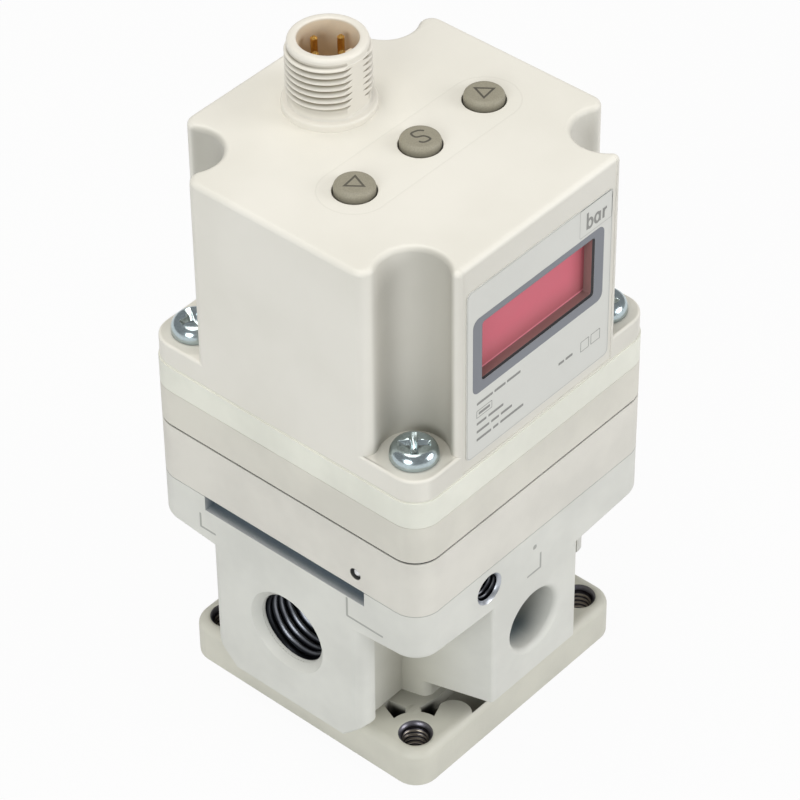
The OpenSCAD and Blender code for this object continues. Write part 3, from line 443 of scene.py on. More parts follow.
# %% Painted shade and seam dirt
def body_shade_and_seam_dirt(paint, body, colour):
    """Painted shade deep in the blind port, lighter on its right wall as if lit, painted shade in the corner
    spaces under the flange, and dirt along the upper seam.
    """
    x, y, z = paint.axes()
    in_port = 1 - x.reach(z - PORT_Z).between(CORED_R + 0.05, CORED_R + 0.4)
    cored_shade = in_port*y.between(-24.0, -20.5)*(1 - y.between(-11.0, -10.0))
    # Painted shade deep in the blind port, less on its right wall, which is painted as if lit.
    body = paint.mix(cored_shade*(1 - x.between(1.2, 4.8)*0.8)*0.9, body, tint(70, 92, 104))
    # Painted shade in the corner spaces under the flange, towards the middle and low down.
    inner = (1 - abs(x).most(abs(y)).between(13.0, 24.0))*(1 - z.between(24.0, 28.0))
    body = paint.mix(inner*0.5, body, tint(164, 160, 140))
    return paint.mix(z.between(36.66, 36.76)*0.5, body, shade(colour, 0.3))


def housing_gap_shade(paint, body, colour):
    """Painted shade in the gap round the ball plug in its hole."""
    (_, y0, z0), (_, y1, z1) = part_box("ball_plug")
    x, y, z = paint.axes()
    gap = 1 - (y - (y0 + y1)/2/MM).reach(z - (z0 + z1)/2/MM).between(0.88, 1.02)
    return paint.mix(gap*(1 - x.between(-22.0, -21.0)), body, tint(40, 42, 44))


def base_painted_shade(paint, body, colour):
    """Painted shade: darker towards the main body and below the top face, near black in the pockets."""
    x, y, z = paint.axes()
    far, near = abs(x).most(abs(y)), abs(x).least(abs(y))
    within = box_mask(x, y, (-21.9, 21.9, -21.9, 21.9), 3.4, 0.15)
    corner_shade = (1 - (abs(x) + abs(y)).between(26.0, 37.5))*within
    body = paint.mix(corner_shade*0.74, body, shade(colour, 0.34))
    recess = (1 - z.between(3.6, 6.2))*within
    body = paint.mix(recess*0.5, body, tint(70, 68, 58))
    pocket = (1 - z.between(5.1, 6.3))*near.between(11.2, 12.2)*(1 - far.between(18.4, 18.9))
    return paint.mix(pocket*0.94, body, tint(30, 30, 27))


BODY_MARKS = [
    ("left", (15.9, 16.25, 30.3, 33.1)), ("left", (13.2, 16.25, 30.3, 30.65)),
    ("left", (-11.95, -11.6, 30.3, 34.0)), ("left", (-18.4, -11.6, 30.3, 30.65)),
    ("front", (0.85, 1.2, 28.95, 32.0)), ("front", (-1.9, 1.2, 28.95, 29.3)),
    ("front", (-0.7, 0.1, 33.5, 34.3)),
]
band_paint = casting_paint("band_paint", tint(233, 233, 221))
pilot_paint = casting_paint("pilot_paint", tint(219, 216, 205))
housing_paint = casting_paint("housing_paint", tint(222, 219, 210), shade_and_dirt=housing_gap_shade)
body_paint = casting_paint("body_paint", tint(220, 220, 213), BODY_MARKS, body_shade_and_seam_dirt)
base_paint = casting_paint("base_paint", tint(216, 214, 201), shade_and_dirt=base_painted_shade)
print("painted plates: 5 finishes")

# %% [markdown]
# ## Bare metals
# Where a tap cut the casting after painting, bare metal shows in the ports, with painted highlights on the crests
# and painted shade in the grooves. The slot has a grey skin, painted darker deeper in as painted shade, the
# screws a bright zinc plate. Fine streaks and a little change in roughness keep these from looking like chrome.

# %% Metals
def metal(name, colour, roughness, streak=(1, 1, 1), per_mm=6.0, change=0.18, metallic=1.0):
    bare = Finish(name, Metallic=metallic)
    streaks = bare.noise(per_mm, 2, 0.6, streak)
    stain = bare.noise(0.5, 3, 0.6)
    colour = bare.mix(streaks.between(0.3, 0.7)*0.6 + stain*0.4, shade(colour, 0.74), colour)
    bare.skin(colour, roughness + streaks*change, streaks, 0.006)
    return bare


cut_metal = metal("cut_metal", tint(122, 124, 128), 0.30, (6, 1, 1))
edge_metal = metal("edge_metal", tint(128, 126, 134), 0.30)
pale_metal = metal("pale_metal", tint(204, 208, 214), 0.28)
zinc = metal("zinc", tint(194, 208, 212), 0.13, (1, 1, 5), 3.0, 0.14)
polished_steel = metal("polished_steel", tint(250, 250, 250), 0.20, (1, 1, 1), 4.0, 0.1, metallic=0.4)
plain_steel = metal("plain_steel", tint(178, 181, 184), 0.28)
spring_steel = metal("spring_steel", tint(190, 192, 196), 0.22, (1, 1, 8))
brass = metal("brass", tint(204, 176, 104), 0.26)
gilt = metal("gilt", tint(240, 186, 98), 0.20, (1, 1, 6))
print("plain metals: 9 finishes")

# %% Tapped holes and the slot
PORT_RADII, PILOT_RADII, HOLE_RADII = (5.22, 5.69), (1.78, 2.07), (1.80, 2.08)
PILOT_X, PILOT_Z, HOLE_AT = -10.1, 32.9, 18.45


def tapped(name, groove_shade, crest, radii, offsets):
    """Bare metal with painted shade in a thread's grooves and painted highlights on its crests. offsets gives two
    distances from the axis.
    """
    bare = Finish(name, Metallic=1.0)
    u, v = offsets(*bare.axes())
    low, high = radii
    ridge_mask = 1 - u.reach(v).between(low + 0.2*(high - low), low + 0.75*(high - low))
    streaks = bare.noise(6.0, 2, 0.6)
    colour = bare.mix(streaks*0.35, bare.mix(ridge_mask, groove_shade, crest), shade(groove_shade, 0.9))
    bare.skin(colour, 0.28 + streaks*0.16, streaks, 0.006)
    return bare


# Each pair is the painted groove shade and the painted crest highlight of one thread.
port_shade_and_highlight = tint(40, 42, 47), tint(148, 151, 158)
side_thread = tapped("side_thread", *port_shade_and_highlight, PORT_RADII, lambda x, y, z: (y, z - PORT_Z))
rear_thread = tapped("rear_thread", *port_shade_and_highlight, PORT_RADII, lambda x, y, z: (x, z - PORT_Z))
pilot_thread = tapped("pilot_thread", tint(34, 34, 38), tint(120, 122, 126), PILOT_RADII,
                      lambda x, y, z: (x - PILOT_X, z - PILOT_Z))
base_thread = tapped("base_thread", tint(70, 68, 74), tint(176, 166, 152), HOLE_RADII,
                     lambda x, y, z: (abs(x) - HOLE_AT, abs(y) - HOLE_AT))

# The slot's grey skin is painted darker deeper into the slot: painted shade.
slot_skin = Finish("slot_skin", Metallic=0.3)
slot_grain = slot_skin.noise(2.5, 3, 0.6)
slot_depth_shade = slot_skin.axes()[0].between(-HALF_PLATE, -23.4)*0.85 + slot_grain*0.3
slot_skin.skin(slot_skin.mix(slot_depth_shade, tint(206, 208, 208), tint(132, 144, 154)),
               0.42 + slot_grain*0.2, slot_grain, 0.02)
print("threads and slot: 5 finishes")

# %% [markdown]
# ## Moulded plastics and rubber
# The cover is a pale ivory moulding with a fine spark-eroded grain, the connector a creamier one, the buttons a
# soft grey-brown plastic. Fine noise makes the grain, and slow clouds in colour and roughness stand for handling.

# %% Plastics
def plastic(name, colour, roughness, grain=5.0, depth=0.012, change=0.05):
    moulded = Finish(name)
    fine = moulded.noise(grain, 2, 0.55)
    cloud = moulded.noise(0.08, 3, 0.5)
    dark, pale = shade(colour, 1 - change), shade(colour, 1 + change/2)
    moulded.skin(moulded.mix(cloud.between(0.3, 0.7)*0.7 + fine*0.3, dark, pale),
                 roughness - 0.06 + cloud*0.10 + fine*0.06, fine, depth)
    return moulded


insert_plastic = plastic("insert_plastic", tint(176, 152, 112), 0.5)
black_plastic = plastic("black_plastic", tint(46, 46, 48), 0.42, 4.0, 0.012, 0.2)
frame_plastic = plastic("frame_plastic", tint(146, 116, 112), 0.34, 4.0, 0.006, 0.1)
board_resin = plastic("board_resin", tint(38, 104, 66), 0.35, 2.0, 0.02, 0.2)
seal_rubber = plastic("seal_rubber", tint(38, 38, 38), 0.6, 3.0, 0.02, 0.2)
gasket_sheet = plastic("gasket_sheet", tint(226, 224, 214), 0.6, 3.0, 0.01, 0.08)
print("plastics: 6 finishes")

# %% [markdown]
# ## Cover
# The cover is one thin moulding: straight walls with a scalloped screw pocket at each corner, rounded lips beside
# the pockets, a soft upper edge, a flat panel for the label, and holes. A bevel on the CAD solid would pinch at
# the small lips, so the cover is a loft: its outline comes from circles that touch each other, which keeps every
# inset ring smooth.

# %% Cover outline
COVER_FACE, POCKET_AT, POCKET_R = 24.8, 19.8, 4.85
FRONT_LIP, SOFT_LIP, LEAST_LIP = 0.9, 1.9, 0.04
LIPS = [(SOFT_LIP, SOFT_LIP), (SOFT_LIP, SOFT_LIP), (SOFT_LIP, FRONT_LIP), (FRONT_LIP, SOFT_LIP)]
PANEL_X, PANEL_STEP, PANEL_SLOPE = 15.66, 0.14, 0.06


def lip_centre(radius, inset):
    """Radius of a lip moved in by inset, and its centre across and along the wall."""
    lip = max(radius - inset, LEAST_LIP)
    across = COVER_FACE - inset - lip
    return lip, across, POCKET_AT - sqrt((POCKET_R + inset + lip)**2 - (across - POCKET_AT)**2)


def pocket_corner(inset, lips):
    """Lip, pocket and lip of the back right corner, moved in by inset."""
    (lip, across, along), (far_lip, far_across, far_along) = (lip_centre(r, inset) for r in lips)
    turn = atan2(POCKET_AT - along, POCKET_AT - across)
    far_turn = atan2(POCKET_AT - far_along, POCKET_AT - far_across)
    points = arc((across, along), lip, 0, turn, 8)
    points += arc((POCKET_AT, POCKET_AT), POCKET_R + inset, turn - pi, -QUARTER - far_turn, 36)[1:-1]
    return points + arc((far_along, far_across), far_lip, QUARTER - far_turn, QUARTER, 8)


def quarter_turns(points, k):
    for _ in range(k):
        points = [(-y, x) for x, y in points]
    return points


def cover_outline(inset, panel=True):
    points = []
    for k in range(4):
        points += quarter_turns(pocket_corner(inset, LIPS[k]), k)
        if k == 2 and panel:
            y = inset - COVER_FACE
            points += [(-PANEL_X - PANEL_SLOPE, y), (-PANEL_X, y + PANEL_STEP),
                       (PANEL_X, y + PANEL_STEP), (PANEL_X + PANEL_SLOPE, y)]
    return points


CORNER_COUNT = len(pocket_corner(0, LIPS[0]))
print("points in one corner:", CORNER_COUNT)

# %% Cover plastic
ROW_EDGE, ROW_CORNER, ROW_LINE = (-17.2, 19.4, -8.1, 2.1), 5.05, 0.2
cover_skin = Finish("cover_plastic", Specular_IOR_Level=0.45)
spark = cover_skin.noise(4.2, 2, 0.55)
flow = cover_skin.noise(0.05, 3, 0.5)
px, py, pz = cover_skin.axes()
row = box_mask(px, py, ROW_EDGE, ROW_CORNER, 0.10)
row = row - box_mask(px, py, smaller(ROW_EDGE, ROW_LINE), ROW_CORNER - ROW_LINE, 0.10)
row = row*pz.between(92.6, 92.7)
ivory = cover_skin.mix(flow.between(0.3, 0.7)*0.8 + spark*0.2, tint(225, 222, 212), tint(233, 230, 221))
# Painted shade inside the screw pockets, most on their far side and low down, and a little over the whole front
# face.
from_pocket = (abs(px) - POCKET_AT).reach(abs(py) - POCKET_AT)
in_pocket = 1 - from_pocket.between(POCKET_R + 0.05, POCKET_R + 0.7)
far_side = 1 - (abs(px) - abs(py)).between(-4.5, 2.5)
pocket_and_face_shade = in_pocket*(0.20 + far_side*0.30 + (1 - pz.between(62.0, 80.0))*0.17)*pz.between(61.4, 61.6)
pocket_and_face_shade = pocket_and_face_shade.most((1 - py.between(-24.75, -24.4))*0.14)
ivory = cover_skin.mix(pocket_and_face_shade, ivory, tint(128, 126, 114))
ivory = cover_skin.mix(row*0.16, ivory, tint(190, 187, 176))
cover_skin.skin(ivory, 0.40 + flow*0.10 + spark*0.08, spark*0.8 - row*1.2, 0.012)
print("cover finish:", cover_skin.material.name)

# %% Cover shell
Z_COVER, Z_LEDGE, Z_ROOF, Z_TOP = 58.0, 61.5, 91.0, 92.8
COVER_WALL, EDGE_R = 1.6, 0.85
WINDOW, WINDOW_CORNER = (-11.9, 11.35, 72.1, 82.1), 0.5
BUTTONS = {"up_button": (-12.0, -3.0), "set_button": (1.1, -3.0), "down_button": (14.2, -3.0)}
BUTTON_HOLE = [(3.24, Z_TOP), (3.10, Z_TOP - 0.05), (3.04, Z_TOP - 0.2), (3.04, Z_ROOF)]
CONNECTOR, CONNECTOR_HOLE = (0.0, 12.2), [(6.1, Z_TOP), (6.1, Z_ROOF)]
shell = Shape()
wall = [shell.level(cover_outline(inset), z) for inset, z in [(0, Z_COVER)] + soft_edge(Z_TOP, EDGE_R, 6)]
front = 3*CORNER_COUNT + 1
shell.band(wall[0], wall[1], skip=(front,))
shell.bands(wall[1:])
inside = [shell.level(cover_outline(COVER_WALL, False), z) for z in (Z_COVER, Z_ROOF)]
inner_front = 3*CORNER_COUNT - 1
shell.band(inside[0], inside[1], skip=(inner_front,))
shell.fill(wall[0], inside[0])

window_rings = [shell.standing(WINDOW, WINDOW_CORNER, y - COVER_FACE) for y in (PANEL_STEP, COVER_WALL)]
shell.bands(window_rings)
for rings, k, hole in ((wall, front, window_rings[0]), (inside, inner_front, window_rings[1])):
    shell.fill([rings[0][k], rings[0][k + 1], rings[1][k + 1], rings[1][k]], hole)

holes = [shell.turned(BUTTON_HOLE, spot, 48) for spot in BUTTONS.values()]
holes.append(shell.turned(CONNECTOR_HOLE, CONNECTOR, 64))
for hole in holes:
    shell.bands(hole)
shell.fill(wall[-1], *[hole[0] for hole in holes])
shell.fill(inside[1], *[hole[-1] for hole in holes])
print("cover walls:", len(shell.bm.faces), "faces")

# %% Cover ledges
CORNER_R, LEDGE_EDGE, LEDGE_HOLE, SCREW_AT = 4.0, 0.45, 2.2, 20.0
SCREWS = [quarter_turns([(SCREW_AT, SCREW_AT)], k)[0] for k in range(4)]
for k, spot in enumerate(SCREWS):
    inner = pocket_corner(0.3, LIPS[k])[::-1]
    near_end, far_end = (lip_centre(r, 0)[2] for r in LIPS[k])
    middle = COVER_FACE - CORNER_R
    rings = []
    for inset, z in [(0, Z_COVER + 0.01)] + soft_edge(Z_LEDGE, LEDGE_EDGE, 4):
        outer = [(COVER_FACE - inset, near_end)] + arc((middle, middle), CORNER_R - inset, 0, QUARTER, 12)
        outer += [(far_end, COVER_FACE - inset)]
        rings.append(shell.level(quarter_turns(outer + inner, k), z))
    shell.bands(rings)
    hole = shell.turned([(LEDGE_HOLE, Z_LEDGE), (LEDGE_HOLE, Z_COVER + 0.01)], spot, 32)
    shell.bands(hole)
    shell.fill(rings[-1], hole[0])
    shell.fill(rings[0], hole[1])
shell.piece("cover_shell", [cover_skin], "cover_plastic", replaces=("cover",))

# %% [markdown]
# ## Cover gasket
# A thin pale sheet seals the cover, and only its edge shows, as a fine line round the stack. A flat ring between
# two rounded squares is enough, set a hair inside the cover's faces so that the line stays fine.

# %% Cover gasket
GASKET_T, GASKET_HALF, GASKET_HOLE, HOLE_CORNER = 0.3, COVER_FACE - 0.03, 22.8, 2.0
sheet = Shape()
rims = [[sheet.level(rounded_box((-half, half, -half, half), corner, 10), z)
         for half, corner in ((GASKET_HALF, CORNER_R), (GASKET_HOLE, HOLE_CORNER))]
        for z in (Z_COVER - GASKET_T, Z_COVER)]
for low, high in zip(*rims):
    sheet.band(low, high)
for outer, inner in rims:
    sheet.band(outer, inner)
sheet.piece("cover_gasket_sheet", [gasket_sheet], "rubber", replaces=("cover_gasket",))

# %% [markdown]
# ## Cast plates
# The plates are right in CAD, but their edges are razor sharp, and it is a small rounding along each edge that
# makes a seam visible. A copy of the CAD mesh is cleaned up, and a bevel weighted edge by edge rounds only the
# edges that a fettler would have broken.

# %% Rounded copies of CAD solids
FLAT_ENOUGH, SHARP_EDGE = radians(0.3), radians(28)


def softened(node, weigh, width, finishes, slot, repaint=lambda p: 0, steps=3, merge=0.002):
    """A copy of a node with each edge rounded by weigh(its middle), at most width."""
    copy = cad_copy(node, merge)
    bmesh.ops.dissolve_limit(copy.bm, angle_limit=FLAT_ENOUGH, verts=copy.bm.verts, edges=copy.bm.edges)
    weights = copy.bm.edges.layers.float.new("bevel_weight_edge")
    for edge in copy.bm.edges:
        if len(edge.link_faces) == 2 and edge.calc_face_angle_signed(0) > SHARP_EDGE:
            edge[weights] = weigh((edge.verts[0].co + edge.verts[1].co)*(0.5/MM))/width
    for face in copy.bm.faces:
        face.material_index = repaint(face.calc_center_median()/MM)
    mesh = copy.mesh(node + "_sharp", outward=False)
    for stale in [a.name for a in mesh.attributes if a.name == "custom_normal"]:
        mesh.attributes.remove(mesh.attributes[stale])
    holder = put(node + "_sharp", mesh)
    bevel = holder.modifiers.new("broken edges", "BEVEL")
    bevel.limit_method, bevel.width, bevel.segments = "WEIGHT", width*MM, steps
    bevel.use_clamp_overlap, bevel.loop_slide = False, False
    bpy.context.view_layer.update()
    shown = holder.evaluated_get(bpy.context.evaluated_depsgraph_get())
    rounded = bpy.data.meshes.new_from_object(shown)
    bpy.data.objects.remove(holder)
    low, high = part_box(node)
    for vertex in rounded.vertices:
        vertex.co = [min(max(c, a), b) for c, a, b in zip(vertex.co, low, high)]
    dress(rounded, node + "_soft", finishes, slot, replaces=(node,))


def at(value, wanted, slack=0.05):
    return abs(value - wanted) < slack


def on_outline(p):
    """True for a point on the plates' rounded square outline."""
    x, y, middle = abs(p.x), abs(p.y), HALF_PLATE - PLATE_CORNER
    if x > middle and y > middle:
        return at(hypot(x - middle, y - middle), PLATE_CORNER)
    return max(x, y) > HALF_PLATE - 0.05


print("rounding ready")

# %% Three plates
PLATE_EDGE = 0.13
for node, paint, slot in (("manifold_plate", band_paint, "cast_band"), ("pilot_block", pilot_paint, "cast_pilot"),
                          ("diaphragm_housing", housing_paint, "cast_housing")):
    softened(node, lambda p: PLATE_EDGE*on_outline(p), PLATE_EDGE, [paint], slot, steps=2)

# %% [markdown]
# ## Main body
# The main body carries the ports. Its flange has a well rounded lower edge, its bosses a small one, and the slot
# under the upper seam is left as cast. The weighted bevel does all of these with a weight for each edge, and the
# faces inside the slot take a second finish.

# %% Main body
Z_FLANGE, Z_BODY, FLANGE_EDGE, CORED_EDGE, BOSS_EDGE = 28.4, 36.8, 1.1, 0.95, 0.35
SLOT_DEEP, SLOT_HALF, SLOT_Z = -21.7, 15.05, 34.1


def body_edge(p):
    if at(p.z, Z_FLANGE) and on_outline(p):
        return FLANGE_EDGE
    if at(p.z, Z_BODY) and on_outline(p):
        return PLATE_EDGE
    if at(p.y, -HALF_PLATE) and at(hypot(p.x, p.z - PORT_Z), CORED_R, 0.1):
        return CORED_EDGE
    hidden_foot = p.z < 7.2 and abs(p.x) < HALF_PLATE - 0.05
    low_on_boss = p.z < 11.5 and max(abs(p.x), abs(p.y)) > 14
    return BOSS_EDGE if low_on_boss and not hidden_foot else 0.0


def slot_patch(p):
    return int(0.02 - HALF_PLATE < p.x < SLOT_DEEP and abs(p.y) < SLOT_HALF and SLOT_Z < p.z < Z_BODY - 0.01)


softened("main_body", body_edge, FLANGE_EDGE, [body_paint, slot_skin], "cast_body", slot_patch, 5, 0.02)

# %% [markdown]
# ## Base plate
# The base plate closes the body from below, with a tapped hole at each corner and deep pockets beside the holes.
# Its outer edge is rounder than the pockets' edges, so the weights differ again, and a thin lip gets none,
# because two bevels would meet on it. A small turned plug rounds the sharp tips of the pockets.

# %% Base plate
Z_BASE, BASE_EDGE, POCKET_EDGE, POCKET_TIP = 6.4, 0.25, 0.10, 15.15
PLUG = [(1.15, 4.6), (1.15, 6.2), (1.08, 6.34), (0.95, Z_BASE + 0.002)]


def base_edge(p):
    x, y = abs(p.x), abs(p.y)
    at_top = at(p.z, Z_BASE, 0.02) and x + y > 24
    by_hole = hypot(x - HOLE_AT, y - HOLE_AT) < 3.0
    thin_lip = 20.8 < y < 21.3
    if not at_top or by_hole or thin_lip:
        return 0.0
    return BASE_EDGE if max(x, y) > 21.3 else POCKET_EDGE


softened("base_plate", base_edge, BASE_EDGE, [base_paint], "cast_base", merge=0.01)
ends = Shape()
for spot in ((x, y) for x in (-POCKET_TIP, POCKET_TIP) for y in (-POCKET_TIP, POCKET_TIP)):
    ends.solid(ends.turned(PLUG, spot, 40))
ends.piece("pocket_ends", [base_paint], "cast_base")

# %% [markdown]
# ## Threads
# The ports, the small pilot port and the base holes are tapped. A thread climbs as it goes round, so a point's
# radius depends on its angle and its depth together. A grid of such points makes a true helix, which is simple
# and catches the light crest by crest.

# %% A tapped wall
def thread_lining(name, start, inward, across, radii, pitch, length, mouth, finishes):
    """A tapped wall from start along inward, with mouth's (radius, depth) rings before the thread."""
    lining = Shape()
    start, inward, across = Vector(start), Vector(inward), Vector(across)
    other = inward.cross(across)
    (crest, root), count, lead = radii, 72, mouth[-1][1]
    rows = max(12, int((length - lead)/pitch*9))
    turns = [tau*i/count for i in range(count)]

    def ring(depth, reaches):
        return lining.ring([start + inward*depth + (across*cos(a) + other*sin(a))*r
                            for a, r in zip(turns, reaches)])

    rings = [ring(depth, [radius]*count) for radius, depth in mouth]
    for k, (low, high) in enumerate(zip(rings, rings[1:])):
        lining.paint = min(k, len(finishes) - 2) + 1
        lining.band(low, high)
    lining.paint, last = 0, rings[-1]
    for j in range(1, rows + 1):
        depth = lead + (length - lead)*j/rows
        fade = min(1.0, (depth - lead)/(0.9*pitch))
        phases = [(depth/pitch - i/count) % 1.0 for i in range(count)]
        rise = [max(0.0, min(1.0, 1.5*abs(2*phase - 1) - 0.25)) for phase in phases]
        now = ring(depth, [root - (root - crest)*r*fade for r in rise])
        lining.band(last, now)
        last = now
    lining.piece(name, finishes, "machined_alloy", sharp=60, outward=False)


print("thread helper ready")

# %% Threads
PORT_PITCH, PORT_DEPTH, PORT_MOUTH = 1.337, 12.9, [(6.80, 0.03), (5.73, 1.10), (5.69, 1.70)]
SMALL_PITCH, PILOT_DEPTH, PILOT_MOUTH = 0.8, 6.8, [(2.55, 0.03), (2.07, 0.5)]
HOLE_DEPTH, HOLE_MOUTH = 6.3, [(2.84, 0.0), (2.52, 0.01), (2.10, 0.55), (2.08, 0.72)]
for name, out, skin in (("supply", (-1, 0, 0), side_thread), ("output", (1, 0, 0), side_thread),
                        ("exhaust", (0, 1, 0), rear_thread)):
    out = Vector(out)
    thread_lining(name + "_port_thread", out*HALF_PLATE + Vector((0, 0, PORT_Z)), -out, (0, 0, 1), PORT_RADII,
                  PORT_PITCH, PORT_DEPTH, PORT_MOUTH, [skin, body_paint])
thread_lining("pilot_port_thread", (PILOT_X, -HALF_PLATE, PILOT_Z), (0, 1, 0), (0, 0, 1), PILOT_RADII,
              SMALL_PITCH, PILOT_DEPTH, PILOT_MOUTH, [pilot_thread, pale_metal])
for side, x in (("left", -HOLE_AT), ("right", HOLE_AT)):
    for end, y in (("front", -HOLE_AT), ("back", HOLE_AT)):
        thread_lining(f"base_thread_{side}_{end}", (x, y, Z_BASE), (0, 0, -1), (1, 0, 0), HOLE_RADII,
                      SMALL_PITCH, HOLE_DEPTH, HOLE_MOUTH, [base_thread, base_paint, edge_metal])

# %% [markdown]
# ## Label, window and its frame
# The label is a thin film with a printed frame round a red window. Print is thinner than any bump, so it is a
# layer of flat faces just above the film: the grey frame, a hairline border, a small box
# with the unit of pressure, plain bars and boxes. The window lies deeper, behind a dark lining.

# %% Label film
label_film = plastic("label_film", tint(214, 214, 208), 0.34, 2.0, 0.004, 0.03)
LABEL, LABEL_CORNER = (-14.95, 14.95, 59.6, 88.4), 0.9
film = Shape()
film_rings = [[film.standing(box, corner, y) for y in (PANEL_STEP - COVER_FACE, -COVER_FACE)]
              for box, corner in ((LABEL, LABEL_CORNER), (WINDOW, WINDOW_CORNER))]
for low, high in film_rings:
    film.band(low, high)
for outer, hole in zip(*film_rings):
    film.fill(outer, hole)
film.piece("label_sheet", [label_film], "label_film", replaces=("front_label",))

# %% Label print
frame_ink = plastic("frame_ink", tint(121, 124, 131), 0.4, 5.0, 0.004, 0.06)
grey_ink = plastic("grey_ink", tint(140, 140, 136), 0.45, 5.0, 0.004, 0.08)
hair_ink = plastic("hair_ink", tint(182, 182, 177), 0.45, 5.0, 0.004, 0.06)
FRAME, GREY, HAIR = range(3)
PRINT_Y, LAYER, STROKE = -24.812, 0.002, 0.42
BORDER, UNIT_BOX = (-14.85, 14.85, 59.7, 88.3), (8.0, 14.85, 83.6, 88.3)
FRAME_EDGE = ((-13.75, 13.3, 70.4, 83.2), 1.2)
BAR_HALF, BAR_CORNER = 0.22, 0.12
BARS = {68.55: ((-12.9, -9.6), (-9.3, -7.0), (-6.7, -3.9)), 66.75: ((-12.5, -10.2),),
        65.05: ((-12.9, -10.9), (-10.5, -7.4)), 63.65: ((-12.9, -10.3), (-9.9, -8.3), (-7.9, -5.6)),
        62.25: ((-12.9, -9.9), (-9.5, -8.4), (-8.0, -3.2)), 64.4: ((4.2, 5.4), (5.7, 7.2))}
SMALL_BOXES = [(-12.95, -9.75, 66.1, 67.4), (8.9, 10.7, 63.5, 65.3), (11.1, 13.1, 63.5, 65.3)]
inks = Shape()


def printed(points, lift=0.0):
    return inks.ring([(x, PRINT_Y - lift, z) for x, z in points])


def printed_frame(box, radius, width, ink):
    inks.paint = ink
    inner = rounded_box(smaller(box, width), max(radius - width, 0.05))
    inks.band(printed(rounded_box(box, radius)), printed(inner))


inks.paint = FRAME
inks.band(*(printed(rounded_box(*edge)) for edge in (FRAME_EDGE, (WINDOW, WINDOW_CORNER))))
printed_frame(BORDER, 0.85, 0.09, HAIR)
printed_frame(UNIT_BOX, 0.3, 0.09, HAIR)
for box in SMALL_BOXES:
    printed_frame(box, 0.1, 0.1, GREY)
for height, words in BARS.items():
    for left, end in words:
        bar = (left, end, height - BAR_HALF, height + BAR_HALF)
        inks.face(printed(rounded_box(bar, BAR_CORNER, 3)))
bowl = [(0.52*cos(t), 0.75*sin(t)) for t in (tau*i/24 for i in range(24))]
unit = [([(9.62, 87.2), (9.62, 84.4)], False), ([(10.14 + u, 85.25 + v) for u, v in bowl], True),
        ([(11.70 + u, 85.25 + v) for u, v in bowl], True), ([(12.22, 86.05), (12.22, 84.4)], False),
        ([(13.0, 86.05), (13.0, 84.4)], False), (smooth_path([(13.0, 85.3), (13.2, 85.75), (13.65, 85.9)]), False)]
for layer, (path, closed) in enumerate(unit):
    inks.band(*(printed(side, LAYER*layer) for side in ribbon(path, STROKE, closed)), closed)
inks.piece("label_print", [frame_ink, grey_ink, hair_ink], "label_film", outward=False)

# %% Window pane and lining
PANE = (-12.55, 12.55, 70.9, 83.3)
red_window = Finish("red_window", Specular_IOR_Level=0.2)
wx, _, wz = red_window.axes()
haze = red_window.noise(0.35, 2, 0.5)
# The red is painted with light: lighter towards the top, painted shade towards the right jamb, and a painted
# highlight along the bottom edge.
ruby_painted_light = red_window.mix(wz.between(71.5, 77.0)*0.8 + haze*0.2, tint(183, 108, 114), tint(212, 104, 120))
ruby_painted_light = red_window.mix(wx.between(7.5, 11.0)*0.55, ruby_painted_light, tint(150, 88, 90))
ruby_painted_light = red_window.mix((1 - wz.between(72.5, 72.62))*0.8, ruby_painted_light, tint(240, 150, 164))
red_window.skin(ruby_painted_light, 0.30 + haze*0.1, haze, 0.01)

pane = Shape()
pane.solid([pane.standing(PANE, 0.6 - inset, y, inset)
            for inset, y in ((0.0, -22.2), (0.0, -23.05), (0.15, -23.195))])
pane.piece("window_pane", [red_window], "red_window", replaces=("display_window",))

lining = Shape()
rings = [lining.standing(WINDOW, WINDOW_CORNER - inset*0.6, y, inset)
         for inset, y in ((0.02, -24.805), (0.1, -24.62), (0.2, -24.5), (0.2, -23.2))]
# The black front lip is a painted shadow along the edge of the opening.
for lining.paint, part in ((1, rings[:3]), (0, rings[2:])):
    lining.bands(part)
lining.piece("window_lining", [frame_plastic, black_plastic], "black_plastic", outward=False)

# %% [markdown]
# ## Buttons
# Each button is a soft cap with a rounded shoulder and a thin engraved sign: a triangle up, one letter for
# setting, a triangle down. The cap is turned, down to the stem that presses the switch, and the engraved line is
# a narrow dark ribbon along a curve, since it is too thin to cut.

# %% Button finishes and signs
button_skin = Finish("button_plastic", Specular_IOR_Level=0.4)
rub = button_skin.noise(5.0, 2, 0.55)
taupe = button_skin.mix(rub.between(0.3, 0.7), tint(142, 137, 121), tint(152, 147, 130))
# The cap's side is painted darker below the top: painted shade.
skirt_shade = 1 - button_skin.axes()[2].between(92.9, 93.85)
button_skin.skin(button_skin.mix(skirt_shade*0.55, taupe, tint(92, 88, 76)), 0.46 + rub*0.12, rub, 0.03)
engraved_line = plastic("engraved_line", tint(84, 80, 70), 0.6, 5.0, 0.006, 0.1)
SIGN_TURN, SIGN_LINE, SIGN_LIFT = radians(38.3), 0.31, 0.006
TRIANGLE = [(0.0, 1.38), (-1.28, -0.76), (1.28, -0.76)]
SIGNS = {
    "up_button": (TRIANGLE, True),
    "set_button": (smooth_path([(0.45, 1.25), (-0.35, 1.25), (-1.25, 0.55), (-0.6, -0.2), (0.5, 0.1),
                                (1.35, -0.5), (0.6, -1.25), (-0.15, -1.15)]), False),
    "down_button": ([(-x, -y) for x, y in TRIANGLE], True),
}
print("signs:", list(SIGNS))

